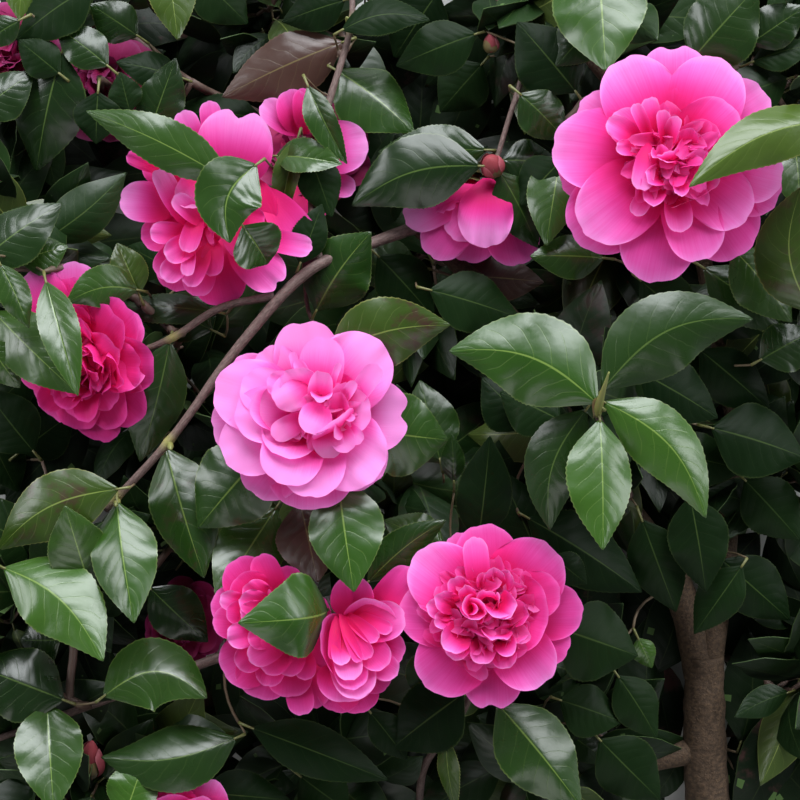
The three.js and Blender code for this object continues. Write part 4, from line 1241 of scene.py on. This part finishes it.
# the foot of the photo
H("s", 252, 728, 106, 388, 780, 100, 54, roll=-12, fold=-12)
H("s", 370, 712, 102, 407, 760, 92, 36, roll=-12)
H("s", 463, 694, 110, 392, 748, 96, 74, roll=16)
H("o", 446, 736, 106, 456, 810, 96, 24, roll=30)
H("m", 498, 704, 114, 582, 808, 104, 80, roll=-14, fold=-14)
H("s", 558, 628, 118, 638, 656, 108, 84, roll=-8, fold=-12)
H("s", 552, 556, 120, 587, 584, 112, 34)
H("s", 528, 518, 106, 642, 592, 92, 74, roll=-16, fold=-14)
H("b", 638, 638, 78, 652, 668, 72, 24)
H("s", 618, 676, 86, 657, 738, 76, 48, roll=-12)
H("s", 600, 740, 84, 660, 800, 70, 64)
H("s", 560, 700, 90, 622, 722, 82, 54, roll=-14)
H("d", 420, 700, 92, 440, 640, 100, 50)
H("s", 300, 776, 84, 350, 812, 78, 56)
H("s", 200, 792, 92, 290, 800, 84, 50, roll=-10)
# deep ones in the last gaps, in the shade green: painted shade
H("s", 438, -8, 60, 394, 58, 52, 66)
H("s", 482, 64, 62, 440, 112, 54, 56)
H("s", 20, 452, 52, 74, 412, 46, 52)
H("s", -8, 440, 50, 18, 492, 44, 44)
H("s", 172, 270, 70, 128, 246, 62, 44)
H("s", 30, 372, 60, -8, 410, 54, 44)
H("s", 10, 378, 50, 68, 422, 44, 46)


# ---------------------------------------------- twigs, by a branching rule

class Net:
    """Twigs grow to their targets, nearest first, each from the best place that is already there."""

    def __init__(self):
        self.pos, self.way, self.par, self.load = [], [], [], []
        for name, (path, r) in paths.items():
            d = unit(np.gradient(path, axis=0))
            first = 34 if name == "main_stem" else 2
            for i in range(first, len(path), 3):
                self.pos.append(path[i])
                self.way.append(d[i])
                self.par.append(-1)
                self.load.append(0)
        self.wood = len(self.pos)
        self.chains = []

    def grow(self, target, way, rnd):
        pos, ways = np.array(self.pos), np.array(self.way)
        gap = target - pos
        dist = np.linalg.norm(gap, axis=1) + 1e-6
        turn = 1 - np.sum(gap * ways, 1) / dist
        meet = 1 - np.clip(gap @ way / dist, -1, 1)
        cost = dist * (1 + 0.30 * turn + 0.22 * meet) + 8.0 * (dist < 5)
        cost[self.wood:] *= 0.94
        i = int(np.argmin(cost))
        length = dist[i]
        a, b = pos[i], target
        n = max(3, int(round(length / 6.5)))
        t = np.linspace(0, 1, n + 1)[:, None]
        lead = ways[i] * 0.5 + unit(b - a) * 0.5
        c1 = a + lead * length * 0.33
        c2 = b - unit(way * 0.7 + unit(b - a) * 0.3) * length * 0.33
        path = (1 - t) ** 3 * a + 3 * t * (1 - t) ** 2 * c1 + 3 * t * t * (1 - t) * c2 + t ** 3 * b
        path[1:-1] += 0.03 * length * np.sin(np.pi * t[1:-1]) * rnd.normal(0, 1, 3)
        for _ in range(3):
            for bloom in BLOOMS.values():
                rel = path - bloom.c
                h = rel @ bloom.a
                rho = np.linalg.norm(rel - h[:, None] * bloom.a, axis=1)
                inside = (rho < bloom.r * 0.8) & (h > -bloom.depth * 0.45) & (h < bloom.depth * 0.5)
                inside[[0, -1]] = False
                path[inside] -= bloom.a * (h[inside] + bloom.depth * 0.5)[:, None]
            c, ok = cells(path, CELL, EDGE, GRID)
            c = np.clip(c, 0, GRID - 1)
            over = path[:, 2] - (ceiling[c[:, 1], c[:, 0]] - 1.5)
            over = np.clip(over, 0, 60) * smooth(0, 0.12, t[:, 0]) * (1 - smooth(0.80, 1.0, t[:, 0]))
            path[:, 2] -= over
            path[1:-1] = 0.25 * path[:-2] + 0.5 * path[1:-1] + 0.25 * path[2:]
            path[1:, 2] = np.maximum(path[1:, 2], 2.6)
        ids, parent = [i], i
        d = unit(np.gradient(path, axis=0))
        for k in range(1, len(path)):
            self.pos.append(path[k])
            self.way.append(d[k])
            self.par.append(parent)
            self.load.append(0)
            parent = len(self.pos) - 1
            ids.append(parent)
        self.chains.append((path, ids))
        while parent >= 0:
            self.load[parent] += 1
            parent = self.par[parent]

    def draw(self):
        for path, ids in self.chains:
            load = np.array([max(self.load[i], 1) for i in ids], float)
            load[0] = load[1]
            r = np.minimum(0.62 * load ** 0.36, 2.3)
            r = np.maximum.accumulate(r[::-1])[::-1]
            young = 1 - smooth(1, 4, load)
            tone = np.stack([young, np.full(len(r), (len(path) * 7 % 10) / 10), np.zeros(len(r))], -1)
            tube(twigs, path, r, sides=7, tone=tone, bumps=0.05, seed=5, bump_scale=3.0)
            covered(path)


net = Net()
seed = np.random.default_rng(20417)

# the blooms' own stalks and scales
scales = Pile()
for b in BLOOMS.values():
    wants.append((b.neck - b.a * 3.0, b.a))
    for ringed, (count, reach, high) in enumerate(((5, 6.5, 0.5), (5, 8.0, 5.0))):
        for i in range(count):
            a = 2 * np.pi * (i + 0.5 * ringed) / count
            b.ring(scales, a, 1.5, -b.depth * 0.5 - 3.5 + ringed, reach, -b.depth * 0.5 + high, 8.5, cup=.7, arch=.25,
                   ruffle=.01, shade=(.2, .7), rows=6, cols=7)

MASSES = {
    "foliage_top_left": (46, 56, 72, 70, 108), "foliage_top_middle": (268, 22, 66, 62, 122),
    "foliage_top_right": (560, 8, 80, 58, 132), "foliage_upper_right": (800, 96, 60, 80, 192),
    "foliage_upper_middle": (412, 268, 74, 62, 128), "foliage_upper_inner": (622, 208, 56, 60, 112),
    "foliage_right": (800, 300, 56, 62, 132), "foliage_right_middle": (780, 474, 62, 58, 108),
    "foliage_right_low": (812, 655, 46, 62, 84), "foliage_whorl": (606, 424, 64, 66, 190),
    "foliage_left": (2, 246, 60, 66, 150), "foliage_left_inner": (178, 372, 58, 58, 104),
    "foliage_lower_left": (26, 590, 70, 70, 146), "foliage_middle": (392, 490, 70, 52, 138),
    "foliage_middle_left": (182, 538, 46, 44, 120), "foliage_bottom_left": (88, 770, 74, 58, 128),
    "foliage_bottom_middle": (330, 776, 66, 56, 104), "foliage_bottom_right": (560, 728, 70, 68, 118)}


def inside(p, mass, grow=1.0):
    """How far out of a mass a point is: under 1 is inside."""
    u, v, a, b, top = mass
    c = at(u, v, 0.42 * top)
    up = 0.58 * top if p[2] > c[2] else 0.42 * top + 6
    q = np.abs((p - c) / (np.array([a, b, up]) * grow))
    return (q ** 2.6).sum()


def level(p):
    """The height that the rule's own leaves keep under, inside the photo's frame."""
    u, v = plan(p)
    rim = min(u, 800 - u, v, 800 - v)
    return 0.0 if rim > 40 else (40 - rim)


def quick_leaf(base, tip, width, n):
    """A few points of a leaf, to test its place."""
    d = tip - base
    side = np.cross(unit(d), n) * width * 0.5
    length = np.linalg.norm(d)
    rows = [(.0, 0), (.25, .8), (.5, 1), (.75, .8), (1, 0)]
    out = []
    for s, w in rows:
        m = base + d * s + n * 0.08 * length * math.sin(math.pi * s)
        out += [m - side * w, m, m + side * w]
    return np.array(out)


def fill_leaf(base, way, length, normal, rnd, slack=0.0, kind=None, rows=None):
    """One leaf of the rule, if there is room for it."""
    global leaves_made
    width = length * rnd.uniform(0.46, 0.55)
    tip = base + way * length
    n = unit(normal - way * normal.dot(way))
    pts = quick_leaf(base, tip, width, n)
    if not free(pts[1:], slack):
        return False
    high = pts[:, 2].max()
    if kind is None:
        # Leaves whose top is under 50 mm take the darkest green, painted shade; the rest draw olive, mid or dark at
        # random, and these fill greens are darker copies of the hero greens, partly painted shade.
        pick = rnd.uniform()
        kind = "fill_painted_shade" if high < 50 else ("fill_olive" if pick < 0.10 else ("fill_mid" if pick < 0.45 else "fill_dark"))
    mid, nn, top = leaf(piles[kind], base, tip, width, rnd, normal=n, arch=rnd.uniform(.02, .12), fold=rnd.uniform(-18, 6),
                        bend=rnd.uniform(-.08, .08), twist=rnd.uniform(-16, 16), wave=.03, hero=False, rows=rows,
                        blotch=.8 if rnd.uniform() < .08 else 0.0)
    covered(finer(finer(top)))
    wants_here.append((stalk(base, unit(mid[1] - mid[0]), rnd.uniform(4, 7), 0.62, 0.3), way))
    leaves_made += 1
    return True


def sprays(mass, count, rnd):
    u, v, a, b, top = mass
    c = at(u, v, 0.42 * top)
    chosen = []
    for _ in range(count):
        best, score = None, -1
        for _ in range(14):
            d = rnd.normal(0, 1, 3)
            d[2] = abs(d[2]) * 0.9 - 0.25
            d = unit(d)
            f = rnd.uniform(0.25, 0.66)
            p = c + d * np.array([a, b, 0.58 * top]) * f
            if p[2] < 8:
                continue
            q, ok = cells(p[None], CELL, EDGE, GRID)
            if ok[0] and p[2] > ceiling[q[0, 1], q[0, 0]] - 6:
                continue
            rim = level(p)
            if rim == 0 and p[2] > 0.60 * top:
                continue
            near = min([np.linalg.norm(p - o) for o, _ in chosen], default=60)
            if near > score:
                best, score = (p, d), near
        if best is not None:
            chosen.append(best)
    for p, d in chosen:
        axis = unit(d + np.array([0, 0, 0.35]) + rnd.normal(0, 0.2, 3))
        side = unit(np.cross(axis, [0.3, 0.2, 1.0]))
        up = np.cross(side, axis)
        n = int(rnd.integers(4, 7))
        spin = rnd.uniform(0, 2 * np.pi)
        made = 0
        for k in range(n):
            for tries in range(5):
                a0 = spin + k * 2.39996 + rnd.uniform(-.4, .4)
                lean = math.radians(rnd.uniform(12, 30) if k == 0 else rnd.uniform(40, 82))
                way = unit(axis * math.cos(lean) + (side * math.cos(a0) + up * math.sin(a0)) * math.sin(lean) + np.array([0, 0, -0.06 * tries]))
                normal = unit(np.array([0, 0, 1.0]) * 0.75 + axis * 0.5 + rnd.normal(0, 0.22, 3))
                if abs(normal.dot(way)) > 0.92:
                    normal = unit(normal + rnd.normal(0, 0.5, 3))
                base = p - axis * (k * rnd.uniform(5, 9)) + way * 6
                length = rnd.uniform(50, 72) * (1 - 0.09 * tries)
                tip = base + way * length
                if inside(tip, mass) > 1.9:
                    continue
                if fill_leaf(base, way, length, normal, rnd):
                    made += 1
                    break


wants_here = []
for i, (name, mass) in enumerate(MASSES.items()):
    u, v, a, b, top = mass
    rnd = np.random.default_rng(500 + i)
    sprays(mass, int(round(a * b * top / 62000.0)) + 3, rnd)
wants += wants_here

# deep leaves where the floor would show through; the low ones take the darkest green, painted shade
wants_here = []
rnd = np.random.default_rng(77)
for turn in range(2400):
    y, x = np.nonzero(~cover[IN:OUT, IN:OUT])
    if len(x) < 12:
        break
    k = rnd.integers(len(x))
    u, v = (x[k] + IN + 0.5) * COVER - 30, (y[k] + IN + 0.5) * COVER - 30
    z = rnd.uniform(8, 46) if turn < 500 else rnd.uniform(5, 30)
    centre = at(u, v, z)
    a = rnd.uniform(0, 2 * np.pi)
    way = unit([math.cos(a), math.sin(a), rnd.uniform(-.12, .12)])
    length = rnd.uniform(56, 76) if turn < 500 else rnd.uniform(34, 56)
    normal = unit([rnd.normal(0, .22), rnd.normal(0, .22), 1])
    fill_leaf(centre - way * length * 0.5, way, length, normal, rnd, rows=9)
wants += wants_here

order = sorted(wants, key=lambda w: min(np.linalg.norm(np.array(net.pos[:net.wood]) - w[0], axis=1)))
for target, way in order:
    net.grow(target, way, seed)
net.draw()
print("leaves", leaves_made, "uncovered", int((~cover[IN:OUT, IN:OUT]).sum()))

# ----------------------------------------------------------------- buds

pink = Pile()


def bud(base, tip, radius, scales_on, rnd, low=.3, high=.8, colour_pile=None):
    """A flower bud: wrapped petals with a few scales round their foot."""
    base, tip = np.asarray(base, float), np.asarray(tip, float)
    axis = unit(tip - base)
    e1 = unit(np.cross(axis, [0.31, 0.2, 0.9]))
    e2 = np.cross(axis, e1)
    length = np.linalg.norm(tip - base)
    t = np.linspace(0, 1, 12)
    tube(colour_pile or pink, base + axis * length * t[:, None], radius * 0.93 * np.sin(np.pi * np.clip(t * 0.93 + 0.05, 0, 1)) ** 0.75,
         sides=14, tone=(low, 0.5, 0.0))
    for i in range(scales_on):
        a = i * 2.39996
        out = e1 * math.cos(a) + e2 * math.sin(a)
        high_at = 0.50 + 0.42 * i / scales_on
        p0 = base + out * radius * 0.45
        p1 = base + out * radius * 0.72 + axis * length * high_at
        pile = scales if i < scales_on * 0.7 else (colour_pile or pink)
        petal(pile, p0, p1, radius * 1.7, rnd, normal=-out, arch=-.26, cup=.95, ruffle=.01, shade=(low, high), rows=7, cols=7)


rb = np.random.default_rng(9)
bud(at(495, 172, 118), at(489, 158, 130), 6.2, 12, rb, .10, .45)
bud(at(88, 776, 88), at(92, 741, 104), 5.4, 7, rb, .1, .5)
bud(at(492, 52, 92), at(489, 34, 98), 4.2, 6, rb, .3, .7)
bud(at(676, 470, 78), at(690, 452, 92), 4.6, 7, rb, .1, .5)

# the end bud in the whorl of leaves
line = spline([at(597, 416, 172), at(599, 405, 184), at(604, 388, 193), at(609, 372, 199)], 1.2)
f = np.linspace(0, 1, len(line))
tube(green, line, 0.4 + 2.1 * np.sin(np.pi * np.clip(f, 0, 1) ** 0.55) ** 0.8 * (1 - 0.5 * f), sides=12, tone=(1.0, 0.5, 0.0))
for i in range(2):
    a, b = at(594 + 3 * i, 418, 173), at(595 + 6 * i, 398 - 4 * i, 186)
    petal(scales, a, b, 4.6, rb, normal=[.5 - .5 * i, -.3, .8], arch=.12, cup=-.9, ruffle=.01, shade=(.5, .9), rows=8, cols=7, strap=True, blunt=2.2)
for u, v, z in ((170, 443, 137), (119, 500, 129), (325, 118, 114), (351, 25, 102), (494, 168, 119)):
    base = at(u, v, z)
    tip = base + unit([0.4 * math.sin(u), 0.4 * math.cos(v), 0.9]) * 8
    line = np.linspace(0, 1, 7)[:, None] * (tip - base) + base
    tube(green, line, 1.7 * np.sin(np.pi * np.linspace(.12, .98, 7)) ** 0.8 + 0.1, sides=8, tone=(0.9, 0.5, 0.0))

# -------------------------------------------------------------- finishes

LEAF_RIB, LEAF_RIM, LEAF_BACK = (0.17, 0.25, 0.055), (0.08, 0.12, 0.028), (0.060, 0.11, 0.032)
# The greens from bright through mid to dark are one leaf green in lighter and darker copies: partly the leaves' own
# range of green and partly painted light and shade. The shade green and the fill greens are darker copies still,
# painted shade; olive and purple are leaf colours of their own.
leaf_looks = {
    "bright": leaf_material("leaf_bright", (0.0120, 0.0430, 0.0034), (0.0340, 0.0870, 0.0090), LEAF_RIB, LEAF_RIM, LEAF_BACK, 0.29, spec=0.52, veins=0.16),
    "mid": leaf_material("leaf_mid", (0.0094, 0.0325, 0.0042), (0.0262, 0.0640, 0.0086), LEAF_RIB, LEAF_RIM, LEAF_BACK, 0.27, spec=0.52, veins=0.11),
    "dark": leaf_material("leaf_dark", (0.0045, 0.0152, 0.0027), (0.0122, 0.0330, 0.0054), (0.08, 0.13, 0.030), (0.04, 0.065, 0.015), LEAF_BACK, 0.28),
    "shade": leaf_material("leaf_shade", (0.0026, 0.0090, 0.0022), (0.0070, 0.0195, 0.0045), (0.045, 0.075, 0.020), (0.022, 0.036, 0.010), LEAF_BACK, 0.44,
                           spec=0.075, veins=0.07),
    "olive": leaf_material("leaf_olive", (0.0165, 0.0360, 0.0042), (0.0530, 0.0920, 0.0120), (0.19, 0.25, 0.062), (0.13, 0.14, 0.035), LEAF_BACK, 0.30,
                           (0.040, 0.016, 0.014)),
    "purple": leaf_material("leaf_purple", (0.0200, 0.0095, 0.0068), (0.0560, 0.0260, 0.0190), (0.16, 0.13, 0.05), (0.09, 0.05, 0.03), LEAF_BACK, 0.32),
    "fill_mid": leaf_material("leaf_mid_small", (0.0050, 0.0165, 0.0034), (0.0125, 0.0340, 0.0070), (0.07, 0.11, 0.03), (0.035, 0.055, 0.016), LEAF_BACK, 0.36,
                              (0.035, 0.018, 0.014), spec=0.30),
    "fill_dark": leaf_material("leaf_dark_small", (0.0030, 0.0096, 0.0024), (0.0075, 0.0210, 0.0050), (0.04, 0.07, 0.02), (0.022, 0.036, 0.010), LEAF_BACK, 0.38,
                               (0.030, 0.016, 0.014), spec=0.22),
    "fill_painted_shade": leaf_material("leaf_painted_shade_small", (0.0022, 0.0070, 0.0020), (0.0056, 0.0150, 0.0040), (0.025, 0.04, 0.012), (0.012, 0.02, 0.006), LEAF_BACK, 0.45, spec=0.14),
    "fill_olive": leaf_material("leaf_olive_small", (0.0172, 0.0330, 0.0059), (0.0495, 0.0759, 0.0145), (0.22, 0.27, 0.07), (0.12, 0.14, 0.035), LEAF_BACK, 0.34,
                                (0.040, 0.020, 0.014))}

RAMP = ((0.0, (0.76, 0.012, 0.140)), (0.22, (0.80, 0.022, 0.230)), (0.42, (0.86, 0.048, 0.350)), (0.60, (0.91, 0.104, 0.490)),
        (0.80, (0.94, 0.215, 0.670)), (1.0, (0.97, 0.340, 0.800)))
outer_look = petal_material("petal_outer", RAMP, 0.55, 0.36)
inner_look = petal_material("petal_inner", RAMP, 0.55, 0.48)
core_look = petal_material("petal_core", RAMP, 0.55, 0.60)
# the petal ramp at about a third of its brightness, for blooms deep in the bough: painted shade
shaded_petal_look = petal_material("petal_shaded", tuple((a, (0.34 * r, 0.34 * g + 0.003, 0.30 * b)) for a, (r, g, b) in RAMP), 0.6, 0.2)
pink_look = petal_material("petal_bud", ((0.0, (0.20, 0.030, 0.036)), (0.5, (0.42, 0.085, 0.110)), (1.0, (0.66, 0.270, 0.310))), 0.5, 0.1)

bark_look = bark_material("bark_stout", (0.026, 0.0155, 0.0090), (0.098, 0.060, 0.034), (0.048, 0.030, 0.0175), 0.80, 2.6, 0.0012)
slim_look = bark_material("bark_slim", (0.052, 0.030, 0.026), (0.165, 0.110, 0.098), (0.102, 0.061, 0.056), 0.60, 1.6, 0.0005)

k = Nodes("twig_young")
young, rand, _ = k.tone()
place = k.place()
grain = k.noise(place, 260.0, 3.0, 0.6)
tw = k.mix(k.math("MULTIPLY", young, 0.65), (0.085, 0.050, 0.040), (0.105, 0.090, 0.032))
tw = k.mix(k.math("MULTIPLY", grain, 0.5), tw, (0.150, 0.100, 0.075))
twig_look = k.done(k.principled(tw, 0.55, k.bump(grain, 0.0004, 0.5), spec=0.4))

k = Nodes("stalk_green")
tint, _, _ = k.tone()
gr = k.mix(tint, (0.050, 0.060, 0.018), (0.190, 0.220, 0.055))
gr = k.mix(k.math("MULTIPLY", k.noise(k.place(), 180.0, 2.0), 0.4), gr, (0.120, 0.060, 0.035))
stalk_look = k.done(k.principled(gr, 0.45, spec=0.5))

k = Nodes("bud_scale")
lv, rand, _ = k.tone()
sc = k.mix(lv, (0.060, 0.050, 0.018), (0.230, 0.190, 0.075))
sc = k.mix(k.math("MULTIPLY", k.step(.45, .7, k.noise(k.place(), 240.0, 3.0)), 0.6), sc, (0.20, 0.070, 0.045))
scale_look = k.done(k.principled(sc, 0.5, spec=0.4))

k = Nodes("cut_wood")
ang_, rad_ = k.local()
rings = k.noise(k.combine(k.math("MULTIPLY", rad_, 24.0), 0.0, 0.0), 1.0, 2.0, 0.6)
wood = k.mix(rings, (0.33, 0.22, 0.12), (0.58, 0.44, 0.28))
wood = k.mix(k.step(.10, .03, rad_), wood, (0.17, 0.10, 0.06))
wood = k.mix(k.step(.90, .95, rad_), wood, (0.10, 0.065, 0.045))
cut_look = k.done(k.principled(wood, 0.7, spec=0.3))

# ---------------------------------------------------------------- pieces

made = {}
for key, pile in piles.items():
    made["leaves_" + key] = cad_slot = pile.make("leaves_" + key, leaf_looks[key])
made["petals_outer"] = outer.make("petals_outer", outer_look)
made["petals_inner"] = inner.make("petals_inner", inner_look)
made["petals_heart"] = core.make("petals_heart", core_look)
made["petals_shaded"] = shaded_petals.make("petals_shaded", shaded_petal_look)
made["bud_petals"] = pink.make("bud_petals", pink_look)
made["bark_stems"] = stout.make("bark_stems", bark_look)
made["bark_branches"] = slim.make("bark_branches", slim_look)
made["cut_face"] = face.make("cut_face", cut_look)
made["twigs"] = twigs.make("twigs", twig_look)
made["leaf_stalks"] = green.make("leaf_stalks", stalk_look)
made["bud_scales"] = scales.make("bud_scales", scale_look)

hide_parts(*STOUT)
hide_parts(*[n for n in LIMBS if n not in STOUT])
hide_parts(*BLOOMS)
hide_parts(*MASSES)

# ----------------------------------------------------------------- stage

me = bpy.data.meshes.new("floor")
me.from_pydata([(-5, -5, 0), (5, -5, 0), (5, 5, 0), (-5, 5, 0)], [], [(0, 1, 2, 3)])
floor = bpy.data.objects.new("floor", me)
bpy.context.scene.collection.objects.link(floor)
k = Nodes("floor_plain")
me.materials.append(k.done(k.principled((0.50, 0.50, 0.49, 1.0), 0.9, spec=0.15)))
floor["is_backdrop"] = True


def panel(name, where, size, power, colour=(1, 1, 1), target=(0, 0, 0.08)):
    data = bpy.data.lights.new(name, "AREA")
    data.shape = "RECTANGLE"
    data.size, data.size_y = size
    data.energy = power
    data.color = colour
    ob = bpy.data.objects.new(name, data)
    ob.location = where
    ob.rotation_euler = (Vector(target) - Vector(where)).to_track_quat("-Z", "Y").to_euler()
    ob.visible_camera = False
    bpy.context.scene.collection.objects.link(ob)
    ob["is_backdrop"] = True


panel("sky_north", (0.65, 5.2, 3.7), (6.6, 3.2), 930, (0.94, 0.97, 1.0))
panel("sky_east", (5.2, 1.6, 3.1), (2.7, 2.2), 165, (0.96, 0.98, 1.0))
panel("sky_west", (-5.2, 1.6, 3.1), (2.7, 2.2), 190, (0.96, 0.98, 1.0))
panel("fill_south", (0.0, -4.6, 4.6), (5.0, 2.7), 88, (1.0, 0.98, 0.96))

world = bpy.data.worlds.new("pale")
bpy.context.scene.world = world
world.use_nodes = True
wt = world.node_tree
wt.nodes.clear()
wo = wt.nodes.new("ShaderNodeOutputWorld")
bg = wt.nodes.new("ShaderNodeBackground")
tc = wt.nodes.new("ShaderNodeTexCoord")
sp = wt.nodes.new("ShaderNodeSeparateXYZ")
mr = wt.nodes.new("ShaderNodeMapRange")
mx = wt.nodes.new("ShaderNodeMix")
mx.data_type = "RGBA"
wt.links.new(tc.outputs["Generated"], sp.inputs[0])
wt.links.new(sp.outputs[2], mr.inputs[0])
mr.inputs[1].default_value, mr.inputs[2].default_value = 0.03, 0.55
wt.links.new(mr.outputs[0], mx.inputs[0])
mx.inputs[6].default_value = (0.50, 0.52, 0.54, 1)
mx.inputs[7].default_value = (0.09, 0.095, 0.105, 1)
wt.links.new(mx.outputs[2], bg.inputs[0])
bg.inputs[1].default_value = 1.0
wt.links.new(bg.outputs[0], wo.inputs[0])

cam_data = bpy.data.cameras.new("camera")
cam_data.sensor_width = 36.0
cam_data.lens = 36.0 * UNIT / 800.0
cam = bpy.data.objects.new("camera", cam_data)
cam.location = (SHIFT[0] * 0.001, SHIFT[1] * 0.001, VIEW_H * 0.001)
cam.rotation_euler = (0, 0, 0)
bpy.context.scene.collection.objects.link(cam)
bpy.context.scene.camera = cam
bpy.context.scene.view_settings.view_transform = "Standard"

print("triangles", sum(counted.values()), counted)
low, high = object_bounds()
